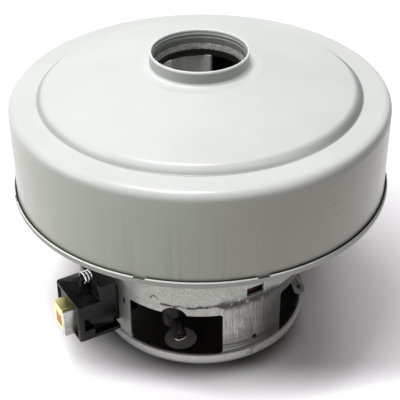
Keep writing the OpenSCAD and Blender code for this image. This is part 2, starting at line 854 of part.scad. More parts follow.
// Spade terminal: a chamfered blade that leans out and down from its boss
module tab_blade(side, grow) {
  half = tab_w / 2 + grow;
  nose = 1;
  translate([side * tab_x, -tab_y, tab_root_z]) rotate([90 - tab_lean, 0, 0])
    translate([0, 0, -tab_t / 2 - grow]) linear_extrude(tab_t + 2 * grow) polygon([
      [-half, grow],
      [half, grow],
      [half, nose - tab_len],
      [half - nose, -tab_len],
      [nose - half, -tab_len],
      [-half, nose - tab_len]
    ]);
}

module terminal_tab(side) {
  color(TIN) difference() {
    tab_blade(side, 0);
    translate([side * tab_x, -tab_y, tab_root_z]) rotate([90 - tab_lean, 0, 0])
      translate([0, tab_hole_in - tab_len, -tab_t]) cylinder(d = tab_hole_d, h = 2 * tab_t);
  }
}

module terminal_tab_left() { terminal_tab(-1); }

module terminal_tab_right() { terminal_tab(1); }

// Ball bearings: outer race with shields, inner race, and balls in their cage
module race_outer(od, id, w, z) {
  groove = (od + id) / 4 + ball_share * (od - id) + race_gap;
  land = (od + id) / 4 - ball_share * (od - id) + shield_gap;
  color(STEEL) rotate_extrude() polygon([
    [od / 2, z],
    [od / 2, z + w],
    [land, z + w],
    [land, z + w - shield_t],
    [groove, z + w - shield_t],
    [groove, z + shield_t],
    [land, z + shield_t],
    [land, z]
  ]);
}

module race_inner(od, id, w, z) {
  groove = (od + id) / 4 - ball_share * (od - id) - race_gap;
  color(STEEL) ring(id / 2 + fit, groove, z, w);
}

module ball_set(od, id, w, z) {
  pitch = (od + id) / 4;
  ball_r = ball_share * (od - id);
  color(STEEL) translate([0, 0, z + w / 2]) {
    ring(pitch - cage_t / 2, pitch + cage_t / 2, -cage_h / 2, cage_h);
    around(ball_n) translate([pitch, 0, 0]) sphere(ball_r);
  }
}

module front_bearing_outer() { race_outer(front_race_d, shaft_d, front_w, front_z); }

module front_bearing_balls() { ball_set(front_race_d, shaft_d, front_w, front_z); }

module front_bearing_inner() { race_inner(front_race_d, shaft_d, front_w, front_z); }

module rear_bearing_outer() { race_outer(rear_race_d, journal_d, rear_w, rear_z); }

module rear_bearing_balls() { ball_set(rear_race_d, journal_d, rear_w, rear_z); }

module rear_bearing_inner() { race_inner(rear_race_d, journal_d, rear_w, rear_z); }

// Shaft: rear journal, main length with a collar under the front bearing
module shaft() {
  collar_w = 1;
  collar_r = shaft_r + collar_w;
  collar_z = front_z - collar_h;
  foot_gap = 0.6;
  foot = rear_z + foot_gap;
  chamfer = 0.8;
  color(STEEL) rotate_extrude() polygon([
    [0, foot],
    [journal_d / 2, foot],
    [journal_d / 2, rear_z + rear_w],
    [shaft_r, rear_z + rear_w],
    [shaft_r, collar_z],
    [collar_r, collar_z],
    [collar_r, front_z],
    [shaft_r, front_z],
    [shaft_r, shaft_z - chamfer],
    [shaft_r - chamfer, shaft_z],
    [0, shaft_z]
  ]);
}

module armature_core() {
  color(STEEL) translate([0, 0, core_z]) linear_extrude(core_top - core_z) difference() {
    circle(armature_r);
    circle(shaft_r + fit);
    around(slot_n) {
      translate([arm_slot_r, 0]) circle(d = arm_slot_d);
      translate([arm_slot_r, -arm_mouth_w / 2]) square([armature_r, arm_mouth_w]);
    }
  }
}

// Winding: round bundles in the slots, joined by the overhangs at both ends
module armature_winding() {
  wind_r = armature_r - arm_tip_t;
  rear_low = com_top + room;
  front_top = core_top + wind_front_h;
  sleeve = shaft_r + fit;
  color(COPPER) {
    translate([0, 0, core_z - overlap]) linear_extrude(core_top - core_z + 2 * overlap)
      around(slot_n) translate([arm_slot_r, 0]) circle(d = arm_slot_d - room);
    rotate_extrude() polygon([
      [sleeve, rear_low],
      [com_d / 2, rear_low],
      [wind_r - overlap, core_z - wind_rear_h / 2],
      [wind_r, core_z - wind_rear_h / 4],
      [wind_r, core_z],
      [sleeve, core_z]
    ]);
    rotate_extrude() polygon([
      [sleeve, core_top],
      [wind_r, core_top],
      [wind_r, core_top + wind_front_h / 3],
      [wind_r - wind_front_h / 2, front_top],
      [sleeve, front_top]
    ]);
  }
}

module commutator_hub() {
  flange_h = 0.8;
  color(BLACK) {
    ring(shaft_r + fit, com_hub_d / 2, com_z - flange_h, com_h + flange_h);
    ring(shaft_r + fit, com_d / 2 - flange_h, com_z - flange_h, flange_h);
  }
}

module commutator_bars() {
  step = 360 / com_n;
  gap_angle = com_gap / (com_d / 2) * 180 / PI;
  riser_out = 1;
  riser_h = 1.4;
  riser_r = com_d / 2 + riser_out;
  riser_z = com_top - riser_h;
  color(COPPER) around(com_n) rotate_extrude(angle = step - gap_angle) polygon([
    [com_hub_d / 2 + fit, com_z],
    [com_d / 2, com_z],
    [com_d / 2, riser_z],
    [riser_r, riser_z],
    [riser_r, com_top],
    [com_hub_d / 2 + fit, com_top]
  ]);
}

module fan_spacer() {
  low = front_z + front_w;
  color(STEEL) ring(shaft_r + fit, spacer_d / 2, low, fan_floor_z - low);
}

module impeller_back_plate() {
  color(ALUMINIUM) ring(shaft_r + fit, fan_r, fan_floor_z, fan_t);
}

// Front plate: shallow cone that turns up into a short collar at the eye
function fan_front_path(in) = [
  [fan_r, fan_edge_z - in],
  [eye_r + fan_t + 2 * eye_bend, seal_z - eye_bend - in],
  [eye_r + fan_t - in, seal_z],
  [eye_r + fan_t - in, eye_z]
];

module impeller_front_plate() {
  color(ALUMINIUM) turned_sheet(fan_front_path(0), fan_front_path(fan_t));
}

// Vanes: curved sheets between the plates, cut to the cone of the front plate
module impeller_vanes() {
  under = fan_front_path(fan_t + fit);
  start = 3;
  near = fan_vane_r - 3 * fan_vane_t;
  color(ALUMINIUM) intersection() {
    around(fan_vane_n, start) translate([0, 0, fan_back_z]) linear_extrude(eye_z - fan_back_z)
      vane_plan(fan_vane_r, fan_r - overlap, fan_vane_t, fan_vane_sweep);
    rotate_extrude() polygon([
      [near, fan_back_z],
      [fan_r, fan_back_z],
      under[0],
      under[1],
      under[2],
      [near, under[2].y]
    ]);
  }
}

module fan_washer() {
  color(STEEL) ring(shaft_r + fit, washer_d / 2, fan_back_z, washer_t);
}

module fan_nut() {
  color(STEEL) translate([0, 0, nut_z]) difference() {
    cylinder(r = nut_af / 2 / cos(30), h = nut_h, $fn = 6);
    translate([0, 0, -past]) cylinder(r = shaft_r + fit, h = nut_h + 2 * past);
  }
}

// Box on the brush axis from x0 to x1, w wide and h high
module brush_box(x0, x1, w, h) {
  translate([x0, -w / 2, brush_z - h / 2]) cube([x1 - x0, w, h]);
}

// Upright block from x0 to x1, with its outer corners rounded
module holder_block(x0, x1, z0, z1) {
  inset = holder_w / 2 - holder_r;
  translate([0, 0, z0]) linear_extrude(z1 - z0) {
    translate([x0, -holder_w / 2]) square([x1 - holder_r - x0, holder_w]);
    translate([x0, -inset]) square([x1 - x0, 2 * inset]);
    for (y = [-inset, inset]) translate([x1 - holder_r, y]) circle(holder_r);
  }
}

// Height of the side pocket's sloping ceiling at x
function ceiling(x) =
  pocket_z + pocket_h + pocket_rise * (x - back_x) / (pocket_len + step_len);

// Upright plate of a plan in x and z, from y0 out to y1
module side_plate(y0, y1, plan) {
  translate([0, y1, 0]) rotate([90, 0, 0]) linear_extrude(y1 - y0) polygon(plan);
}

// Pocket in the holder's side, open to the frame, with a rib under its ceiling
module side_pocket() {
  outside = holder_w / 2;
  inside = outside - pocket_t;
  open_x = back_x - past;
  difference() {
    side_plate(inside, outside + past, [
      [open_x, pocket_z],
      [pocket_x, pocket_z],
      [pocket_x, pocket_z + step_up],
      [step_x, pocket_z + step_up],
      [step_x, ceiling(step_x)],
      [open_x, ceiling(open_x)]
    ]);
    side_plate(inside - past, outside - rib_in, [
      [back_x, ceiling(back_x) - rib_gap - rib_h],
      [pocket_x + overlap, ceiling(pocket_x) - rib_gap - rib_h],
      [pocket_x + overlap, ceiling(pocket_x) - rib_gap],
      [back_x, ceiling(back_x) - rib_gap]
    ]);
  }
}

// Brush holder: moulded block with a tall back, whose seat stands on the frame's wall
module brush_holder() {
  panel_w = holder_w - 2 * panel_rim;
  panel_h = holder_h - 2 * panel_rim;
  color(BLACK) difference() {
    union() {
      holder_block(back_x, holder_end, holder_z, holder_top);
      holder_block(back_x, tall_end, holder_z, tall_top);
      holder_block(back_x - floor_out, holder_end, holder_z, pocket_z);
      difference() {
        translate([frame_in, -sleeve_w / 2, holder_z])
          cube([back_x + overlap - frame_in, sleeve_w, seat_z - holder_z]);
        cylinder(r = frame_r + fit, h = mouth_z);
      }
      brush_box(sleeve_in, frame_r + frame_t, sleeve_w, sleeve_h);
    }
    brush_box(sleeve_in - past, holder_end + past, tube_w + 2 * fit, tube_h + 2 * fit);
    translate([holder_end - panel_t, -panel_w / 2, holder_z + panel_rim])
      cube([panel_t + past, panel_w, panel_h]);
    blade(fit);
    for (side = [0, 1]) mirror([0, side, 0]) side_pocket();
    translate([bay_x, -lead_y - bay_w / 2, holder_top]) cube([bay_t + past, bay_w, tall_h + past]);
    translate([back_x - past, -holder_w / 2 - past, holder_top])
      cube([tall_t + 2 * past, tall_in + past, tall_h + past]);
  }
  color(BLACK) translate([bay_x - overlap, -lead_y, lead_z]) rotate([0, 90, 0])
    cylinder(d = lead_post_d, h = lead_run + 2 * lead_d + overlap);
}

module brush_tube() {
  color(BRASS) difference() {
    brush_box(tube_start, tube_end, tube_w, tube_h);
    brush_box(tube_start - past, tube_end + past, brush_w + 2 * slide, brush_h + 2 * slide);
  }
}

// Plated terminal blade beside the tube, with its lower edge folded over
module blade(grow) {
  translate([blade_start - grow, blade_y - grow, blade_z - grow])
    cube([blade_end - blade_start + 2 * grow, blade_t + 2 * grow, blade_h + 2 * grow]);
}

module brush_terminal() {
  x0 = holder_end + slide;
  color(TIN) {
    blade(0);
    translate([x0, blade_y, blade_z + blade_t]) rotate([0, 90, 0])
      cylinder(r = blade_t, h = blade_end - x0);
  }
}

module brush_cap() {
  color(COPPER) brush_box(cap_x, cap_x + cap_t, brush_w + 2 * (slide - fit), brush_h + 2 * (slide - fit));
}

// Spring behind the brush: a helix along the brush axis
function spring_path() =
  let (
    r = (spring_d - spring_wire) / 2,
    x0 = brush_back + spring_wire / 2 + fit,
    x1 = cap_x - spring_wire / 2 - fit,
    n = spring_n * spring_steps
  )
  [for (i = [0 : n]) let (a = 360 * i / spring_steps)
    [x0 + (x1 - x0) * i / n, r * cos(a), brush_z + r * sin(a)]];

module brush_spring() {
  color(STEEL) tube_along(spring_path(), spring_wire / 2);
}

// Lead wound on its post: up from the holder, round the post, and down again
function lead_path() =
  let (
    n = (lead_n + 0.5) * lead_steps,
    foot = [lead_x, -lead_y + lead_r, holder_top],
    tail = [lead_x + lead_run, -lead_y - lead_r, holder_top]
  )
  concat(
    [foot, foot + [0, 0, lead_d]],
    [for (i = [0 : n]) let (a = 360 * i / lead_steps)
      [lead_x + lead_pitch * i / lead_steps, -lead_y + lead_r * cos(a), lead_z + lead_r * sin(a)]],
    [tail + [0, 0, lead_d], tail]
  );

echo(lead_gap = self_gap(lead_path(), lead_d, lead_steps / 2 + 1));
echo(spring_gap = self_gap(spring_path(), spring_wire, spring_steps / 2 + 1));

module brush_lead() {
  color(TIN) tube_along(lead_path(), lead_d / 2);
}

// Carbon brush with its running face cut to the commutator
module carbon_brush() {
  color(CARBON) difference() {
    brush_box(brush_face - past, brush_back, brush_w, brush_h);
    translate([0, 0, brush_z - brush_h]) cylinder(r = brush_face, h = 2 * brush_h);
  }
}

module brush_holder_left() { rotate(180) brush_holder(); }

module brush_holder_right() { brush_holder(); }

module brush_tube_left() { rotate(180) brush_tube(); }

module brush_tube_right() { brush_tube(); }

module brush_terminal_left() { rotate(180) brush_terminal(); }

module brush_terminal_right() { brush_terminal(); }

module brush_cap_left() { rotate(180) brush_cap(); }

module brush_cap_right() { brush_cap(); }

module brush_spring_left() { rotate(180) brush_spring(); }

module brush_spring_right() { brush_spring(); }

module brush_lead_left() { rotate(180) brush_lead(); }

module brush_lead_right() { brush_lead(); }

module carbon_brush_left() { rotate(180) carbon_brush(); }

module carbon_brush_right() { carbon_brush(); }

fan_cover();
inlet_seal();
air_guide();
air_guide_screws();
front_bracket();
motor_frame();
frame_screws();
rear_bracket();
rear_tray();
stator_core();
field_coil_front();
field_coil_back();
field_insulator_front();
field_insulator_rear();
terminal_tab_left();
terminal_tab_right();
front_bearing_outer();
front_bearing_balls();
front_bearing_inner();
rear_bearing_outer();
rear_bearing_balls();
rear_bearing_inner();
shaft();
armature_core();
armature_winding();
commutator_hub();
commutator_bars();
fan_spacer();
impeller_back_plate();
impeller_vanes();
impeller_front_plate();
fan_washer();
fan_nut();
brush_holder_left();
brush_holder_right();
brush_tube_left();
brush_tube_right();
brush_terminal_left();
brush_terminal_right();
brush_cap_left();
brush_cap_right();
brush_spring_left();
brush_spring_right();
brush_lead_left();
brush_lead_right();
carbon_brush_left();
carbon_brush_right();
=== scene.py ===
"""Vacuum cleaner motor unit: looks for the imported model, in metres and in its frame."""
import json
import math

import bmesh
import bpy
import numpy as np
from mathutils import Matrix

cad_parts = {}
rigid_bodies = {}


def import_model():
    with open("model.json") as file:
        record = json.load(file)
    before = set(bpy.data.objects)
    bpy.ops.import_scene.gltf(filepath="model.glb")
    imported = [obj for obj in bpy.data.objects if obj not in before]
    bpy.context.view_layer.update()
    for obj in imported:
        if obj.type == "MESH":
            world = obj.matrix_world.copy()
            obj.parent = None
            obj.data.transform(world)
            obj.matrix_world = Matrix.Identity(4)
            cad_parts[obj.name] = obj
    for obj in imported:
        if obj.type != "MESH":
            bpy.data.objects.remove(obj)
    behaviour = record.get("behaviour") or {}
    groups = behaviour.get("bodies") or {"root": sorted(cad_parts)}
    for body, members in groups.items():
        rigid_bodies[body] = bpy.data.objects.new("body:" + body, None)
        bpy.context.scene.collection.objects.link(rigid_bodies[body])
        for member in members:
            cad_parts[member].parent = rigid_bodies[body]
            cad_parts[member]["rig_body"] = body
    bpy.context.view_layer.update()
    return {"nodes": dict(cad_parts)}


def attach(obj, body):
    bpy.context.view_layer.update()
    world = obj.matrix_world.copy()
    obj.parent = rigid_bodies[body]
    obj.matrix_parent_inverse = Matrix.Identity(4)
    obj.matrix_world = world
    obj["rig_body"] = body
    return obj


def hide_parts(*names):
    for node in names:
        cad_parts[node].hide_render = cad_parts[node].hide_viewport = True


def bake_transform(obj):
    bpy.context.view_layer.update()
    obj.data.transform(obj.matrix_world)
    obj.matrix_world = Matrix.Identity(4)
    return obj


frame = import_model()
cad = frame["nodes"]
scene = bpy.context.scene
scene.view_settings.view_transform = "Standard"

# Camera: it stands in front of the left brush holder and looks down into the inlet.
# Its place, tilt and focal length follow from the circles of lip, shoulder and neck.
pitch, roll, turn = math.radians(33.83), math.radians(-0.52), math.radians(-29.95)
camera_at = (-0.1612, -0.2792, 0.26665)
ahead = np.array([-math.sin(turn) * math.cos(pitch), math.cos(turn) * math.cos(pitch), -math.sin(pitch)])
aside = np.array([math.cos(turn), math.sin(turn), 0.0])
above = np.cross(aside, ahead)
camera_pose = np.eye(4)
camera_pose[:3, 0] = math.cos(roll) * aside + math.sin(roll) * above
camera_pose[:3, 1] = math.cos(roll) * above - math.sin(roll) * aside
camera_pose[:3, 2] = -ahead
camera_pose[:3, 3] = camera_at
lens = bpy.data.cameras.new("photo_camera")
lens.lens = 93.72
lens.sensor_width = 36.0
lens.clip_start = 0.01
camera = bpy.data.objects.new("photo_camera", lens)
camera.matrix_world = camera_pose.T
scene.collection.objects.link(camera)
scene.camera = camera


# Stage: a plain pale table under a large soft lamp, with a weaker one on the left brush holder's side.
# The eye and reflections see white all round. The table keeps the shadow; a painted shadow darkens it
# under the motor, and a painted glow on it grows with the distance from it.
def feed(tree, node, inputs):
    """Fills a node's inputs by name or number: an output socket is linked, anything else is stored."""
    for key, value in inputs.items():
        if isinstance(value, bpy.types.NodeSocket):
            tree.links.new(value, node.inputs[key])
        else:
            node.inputs[key].default_value = value


def add(tree, kind, inputs, **settings):
    """Puts a node into a tree, stores its settings and fills its inputs."""
    node = tree.nodes.new("ShaderNode" + kind)
    for key, value in settings.items():
        setattr(node, key, value)
    feed(tree, node, inputs)
    return node


def maths(tree, operation, *values):
    """One sum, difference or other operation on numbers or sockets."""
    return add(tree, "Math", dict(enumerate(values)), operation=operation).outputs[0]


def times(tree, product, *values):
    """The product of numbers or sockets."""
    for value in values:
        product = maths(tree, "MULTIPLY", product, value)
    return product


def seen_white(tree):
    """1 for rays from the eye, from a gloss or through glass, else 0."""
    path = add(tree, "LightPath", {})
    either = maths(tree, "MAXIMUM", path.outputs["Is Camera Ray"], path.outputs["Is Glossy Ray"])
    return maths(tree, "MAXIMUM", either, path.outputs["Is Transmission Ray"])


room_level = 0.15
world = bpy.data.worlds.new("studio")
world.use_nodes = True
tree = world.node_tree
tree.nodes.clear()
level = maths(tree, "MULTIPLY_ADD", seen_white(tree), 1.0 - room_level, room_level)
sky = add(tree, "Background", {"Color": (1.0, 0.998, 0.99, 1.0), "Strength": level})
add(tree, "OutputWorld", {"Surface": sky.outputs[0]})
scene.world = world

table_half, table_drop = 6.0, 1e-4
table_corners = np.array([(-1, -1, 0), (1, -1, 0), (1, 1, 0), (-1, 1, 0)]) * table_half
table_corners[:, 2] = -table_drop
table_mesh = bpy.data.meshes.new("table")
table_mesh.from_pydata(table_corners.tolist(), [], [(0, 1, 2, 3)])
table = bpy.data.objects.new("table", table_mesh)
scene.collection.objects.link(table)


def finish(name, plain):
    """Starts a material: its tree, and a Principled shader that holds the plain values."""
    material = bpy.data.materials.new(name)
    material.use_nodes = True
    material.node_tree.nodes.clear()
    shader = add(material.node_tree, "BsdfPrincipled", plain)
    add(material.node_tree, "OutputMaterial", {"Surface": shader.outputs[0]})
    return material, material.node_tree, shader


def object_point(tree):
    """The shaded point in the object's own coordinates, which are the frame's."""
    return add(tree, "TexCoord", {}).outputs["Object"]


def tint(tree, share, first, second):
    """Colour that runs from the first to the second with the share."""
    inputs = {0: share, 6: first, 7: second}
    return add(tree, "Mix", inputs, data_type="RGBA").outputs[2]


def ramp(tree, value, low, high, to_low=0.0, to_high=1.0):
    """Runs smoothly from to_low to to_high while the value runs from low to high."""
    inputs = {"Value": value, "From Min": low, "From Max": high, "To Min": to_low, "To Max": to_high}
    return add(tree, "MapRange", inputs, interpolation_type="SMOOTHSTEP").outputs[0]


def length(tree, vector):
    """The length of a vector."""
    return add(tree, "VectorMath", {0: vector}, operation="LENGTH").outputs["Value"]


table_top, tree, shader = finish("table_top", {"Roughness": 0.9, "Emission Color": (1.0, 0.965, 1.0, 1.0)})
seen = seen_white(tree)
point = object_point(tree)
facing = {"Vector": point, "Rotation": (0.0, 0.0, turn)}
shade_oval = {"Location": (-0.0119, -0.0057, 0.0), "Scale": (0.0363, 0.0262, 1.0)}
in_shade = add(tree, "Mapping", facing | shade_oval, vector_type="TEXTURE").outputs[0]
open_floor = ramp(tree, length(tree, in_shade), 1.0, 1.39)
# Painted shadow: inside an oval under the motor the table is painted dark.
pale = tint(tree, open_floor, (0.2, 0.197, 0.19, 1.0), (0.9, 0.875, 0.9, 1.0))
faced = add(tree, "Mapping", facing, vector_type="TEXTURE").outputs[0]
split = add(tree, "SeparateXYZ", {0: faced})
beside, beyond = split.outputs[0], split.outputs[1]
slanted = maths(tree, "MULTIPLY_ADD", beside, 0.8, beyond)
# Painted light: for the eye and in reflections the table glows more away from the motor.
glow, most_glow = 0.0, 0.75
for way, first, last, most in ((beside, 0.0341, 0.0729, 0.256), (beside, -0.04, -0.066, 0.5),
                               (slanted, -0.041, -0.071, 0.45), (beyond, -0.0317, -0.0746, 1.5),
                               (length(tree, point), 0.105, 0.19, 1.0)):
    glow = maths(tree, "ADD", glow, ramp(tree, way, first, last, 0.0, most))
glow = maths(tree, "MINIMUM", glow, most_glow)
feed(tree, shader, {"Base Color": tint(tree, seen, (0.36, 0.352, 0.33, 1.0), pale),
                    "Emission Strength": times(tree, seen, glow)})
table_mesh.materials.append(table_top)

lamp_aim = np.array([0.0, 0.0, 0.09])
for name, place, size, energy in (("key_lamp", (-0.115, 0.005, 0.75), 0.32, 3.4),
                                  ("side_lamp", (-0.46, 0.12, 0.34), 0.3, 0.54)):
    lamp = bpy.data.lights.new(name, "AREA")
    lamp.shape = "DISK"
    lamp.size = size
    lamp.energy = energy
    toward = place - lamp_aim
    toward /= np.linalg.norm(toward)
    across = np.cross([0.0, 1.0, 0.0], toward)
    across /= np.linalg.norm(across)
    lamp_pose = np.eye(4)
    lamp_pose[:3] = np.stack([across, np.cross(toward, across), toward, place], axis=1)
    lamp_piece = bpy.data.objects.new(name, lamp)
    lamp_piece.matrix_world = lamp_pose.T
    scene.collection.objects.link(lamp_piece)


# Fan cover: one deep-drawn steel shell with a ridge, a shallow cone and the inlet neck.
# It is sprayed in a pale satin paint that shows faint drawing streaks on the wall.
# Painted shade darkens the wall against the top, the ridge's slope, the wall's top edge, the neck
# inside and out and the gap at the wall's foot; a painted highlight lightens the neck's rim.
def rounded(corners, steps):
    """A closed outline from rows of (radius, height, rounding), whose corners are swapped for arcs.

    Each arc's middle lies on the corner's bisector, its radius over the half angle's sine away."""
    rows = np.asarray(corners, float)
    at, r = rows[:, :2], rows[:, 2:]
    to_last = np.roll(at, 1, axis=0) - at
    to_next = np.roll(at, -1, axis=0) - at
    to_last /= np.linalg.norm(to_last, axis=1, keepdims=True)
    to_next /= np.linalg.norm(to_next, axis=1, keepdims=True)
    half = np.arccos(np.clip((to_last * to_next).sum(1, keepdims=True), -1, 1)) / 2
    bisector = to_last + to_next
    bisector /= np.linalg.norm(bisector, axis=1, keepdims=True)
    middle = at + bisector * r / np.sin(half)
    first = at + to_last * r / np.tan(half) - middle
    last = at + to_next * r / np.tan(half) - middle
    start = np.arctan2(first[:, 1], first[:, 0])
    sweep = np.angle(np.exp(1j * (np.arctan2(last[:, 1], last[:, 0]) - start)))
    angle = start[:, None] + sweep[:, None] * np.linspace(0, 1, steps + 1)
    arc = middle[:, None] + r[:, None] * np.stack([np.cos(angle), np.sin(angle)], axis=-1)
    return arc.reshape(-1, 2)


def revolved(outline, steps):
    """A grid of the outline's (radius, height) points carried once round the Z axis."""
    angle = np.linspace(0, 2 * np.pi, steps, endpoint=False)
    r, z = outline[:, 0, None], outline[:, 1, None]
    return np.stack([r * np.cos(angle), r * np.sin(angle), z + 0 * angle], axis=-1)


def grid_piece(name, grid, material, stands_for, closed=(True, True)):
    """Makes a grid of points into a smooth mesh of quads, closed along the axes given.

    The first axis runs along the outline, against the clock, and the second round or along."""
    rows, columns = grid.shape[:2]
    i = np.arange(rows if closed[0] else rows - 1)[:, None]
    j = np.arange(columns if closed[1] else columns - 1)[None, :]
    k, m = (i + 1) % rows, (j + 1) % columns
    faces = np.stack([i * columns + j, i * columns + m, k * columns + m, k * columns + j], axis=-1)
    mesh = bpy.data.meshes.new(name)
    mesh.from_pydata(grid.reshape(-1, 3).tolist(), [], faces.reshape(-1, 4).tolist())
    mesh.polygons.foreach_set("use_smooth", np.ones(len(mesh.polygons), dtype=bool))
    mesh.materials.append(material)
    piece = bpy.data.objects.new(name, mesh)
    scene.collection.objects.link(piece)
    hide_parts(stands_for)
    return piece


def group(name, inputs, outputs):
    """Starts a shared node group; inputs and outputs are lists of (name, kind)."""
    tree = bpy.data.node_groups.new(name, "ShaderNodeTree")
    for in_out, sockets in (("INPUT", inputs), ("OUTPUT", outputs)):
        for label, kind in sockets:
            tree.interface.new_socket(label, in_out=in_out, socket_type="NodeSocket" + kind)
    return tree, tree.nodes.new("NodeGroupInput"), tree.nodes.new("NodeGroupOutput")


def noise(tree, vector, scale, detail=3.0, rough=0.55):
    """Smooth noise from 0 to 1, with so many waves to the metre."""
    inputs = {"Vector": vector, "Scale": scale, "Detail": detail, "Roughness": rough}
    return add(tree, "TexNoise", inputs).outputs[0]


def stretched(tree, vector, scale):
    """Coordinates scaled along X, Y and Z."""
    return add(tree, "Mapping", {"Vector": vector, "Scale": scale}, vector_type="POINT").outputs[0]


def band(tree, value, start, full, last, end):
    """Rises from 0 to 1 between start and full, and falls back to 0 between last and end."""
    return times(tree, ramp(tree, value, start, full), ramp(tree, value, end, last))


def hypot(tree, first, second):
    """The root of the sum of two squares."""
    return maths(tree, "SQRT", maths(tree, "MULTIPLY_ADD", first, first, times(tree, second, second)))


def relief(tree, height, strength, depth):
    """A normal that is bent by a height."""
    inputs = {"Height": height, "Strength": strength, "Distance": depth}
    return add(tree, "Bump", inputs).outputs[0]


# round_place: where a point lies on a turned piece, in millimetres out and up, and in degrees around
round_place, given, result = group(
    "round_place", [("Point", "Vector")], [("Out", "Float"), ("Up", "Float"), ("Around", "Float")])
tree = round_place
x, y, z = add(tree, "SeparateXYZ", {0: given.outputs[0]}).outputs
degrees = times(tree, maths(tree, "ARCTAN2", y, x), 180.0 / math.pi)
whole_turn = maths(tree, "MODULO", maths(tree, "ADD", degrees, 360.0), 360.0)
feed(tree, result, {"Out": times(tree, hypot(tree, x, y), 1000.0), "Up": times(tree, z, 1000.0),
                    "Around": whole_turn})


def turned_place(tree, point):
    """A point's distance from the axis and height in millimetres, and its angle in degrees."""
    place = add(tree, "Group", {0: point}, node_tree=round_place)
    return place.outputs["Out"], place.outputs["Up"], place.outputs["Around"]


cover_paint, tree, shader = finish("cover_paint", {"IOR": 1.5, "Coat Weight": 0.32, "Coat Roughness": 0.14})
point = object_point(tree)
out, up, around = turned_place(tree, point)
wall = ramp(tree, up, 96.0, 92.0)
fades = ramp(tree, around, 352.0, 328.0)
cloud = noise(tree, point, 35.0)
colour = tint(tree, ramp(tree, cloud, 0.3, 0.7), (0.785, 0.815, 0.79, 1.0), (0.83, 0.86, 0.84, 1.0))
# Painted shade: the wall is painted darker than the top, and darker and warmer towards the right.
warm_wall_shade = band(tree, around, 232.0, 268.0, 285.0, 308.0)
shaded_wall_colour = tint(tree, warm_wall_shade, (0.73, 0.78, 0.66, 1.0), (0.68, 0.64, 0.565, 1.0))
colour = tint(tree, times(tree, wall, 0.9), colour, shaded_wall_colour)
streak = noise(tree, stretched(tree, point, (1.0, 1.0, 0.03)), 420.0, 4.0, 0.65)
drawn = maths(tree, "MULTIPLY_ADD", band(tree, around, 211.0, 221.0, 236.0, 262.0), 0.8, 0.2)
marks = times(tree, drawn, ramp(tree, up, 92.0, 74.0), ramp(tree, streak, 0.46, 0.74, 0.0, 0.34))
scratch = noise(tree, stretched(tree, point, (0.06, 0.06, 1.0)), 900.0, 4.0, 0.7)
rubbed = times(tree, band(tree, around, 262.0, 282.0, 312.0, 330.0), wall)
rubbed = times(tree, rubbed, ramp(tree, scratch, 0.5, 0.7, 0.0, 0.42))
colour = tint(tree, maths(tree, "MAXIMUM", marks, rubbed), colour, (0.44, 0.455, 0.41, 1.0))
# Painted shade on the ridge's slope, darkest on its +X side.
lee_shade = ramp(tree, add(tree, "SeparateXYZ", {0: point}).outputs[0], -0.025, 0.04)
lee_shade = times(tree, lee_shade, ramp(tree, out, 52.9, 55.5))
slope = maths(tree, "MAXIMUM", ramp(tree, out, 54.2, 56.0, 0.0, 0.55), lee_shade)
slope = times(tree, slope, ramp(tree, out, 56.9, 56.2))
colour = tint(tree, slope, colour, (0.16, 0.17, 0.154, 1.0))
# Painted shade along the top of the wall, towards the right.
brow_shade = times(tree, band(tree, up, 92.0, 94.0, 95.6, 96.7), fades)
brow_shade = times(tree, brow_shade, ramp(tree, around, 260.0, 300.0, 0.0, 0.75))
colour = tint(tree, brow_shade, colour, (0.27, 0.285, 0.26, 1.0))
# Painted shade on the neck's outer wall, darkest from the front round to the right.
neck = times(tree, ramp(tree, up, 107.4, 108.2), ramp(tree, out, 17.8, 17.5))
neck_shade = times(tree, fades, ramp(tree, around, 190.0, 236.0))
neck_shade = times(tree, neck, maths(tree, "MULTIPLY_ADD", neck_shade, 0.31, 0.66))
colour = tint(tree, neck_shade, colour, (0.31, 0.355, 0.31, 1.0))
# Painted shade inside the neck above the seal.
inside = times(tree, ramp(tree, out, 16.75, 16.6), ramp(tree, up, 106.2, 106.8), 0.85)
colour = tint(tree, inside, colour, (0.3, 0.31, 0.3, 1.0))
# Painted highlight: the neck's rim is painted lighter.
colour = tint(tree, ramp(tree, up, 111.2, 111.45), colour, (0.95, 0.96, 0.95, 1.0))
# Painted shade in the gap at the wall's foot, darker towards the right and lighter at the two stakes.
gap_shade = times(tree, fades, ramp(tree, around, 240.0, 275.0))
gap_shade_colour = tint(tree, gap_shade, (0.3, 0.31, 0.28, 1.0), (0.03, 0.03, 0.027, 1.0))
for stake in (223.0, 257.0):
    near = maths(tree, "ABSOLUTE", maths(tree, "SUBTRACT", around, stake))
    gap_shade_colour = tint(tree, ramp(tree, near, 2.4, 1.9), gap_shade_colour, (0.6, 0.62, 0.57, 1.0))
colour = tint(tree, ramp(tree, up, 64.8, 64.4), colour, gap_shade_colour)
peel = noise(tree, point, 1400.0, 2.0)
feed(tree, shader, {"Base Color": colour, "Roughness": ramp(tree, streak, 0.2, 0.8, 0.36, 0.46),
                    "Normal": relief(tree, peel, 0.05, 0.0002)})

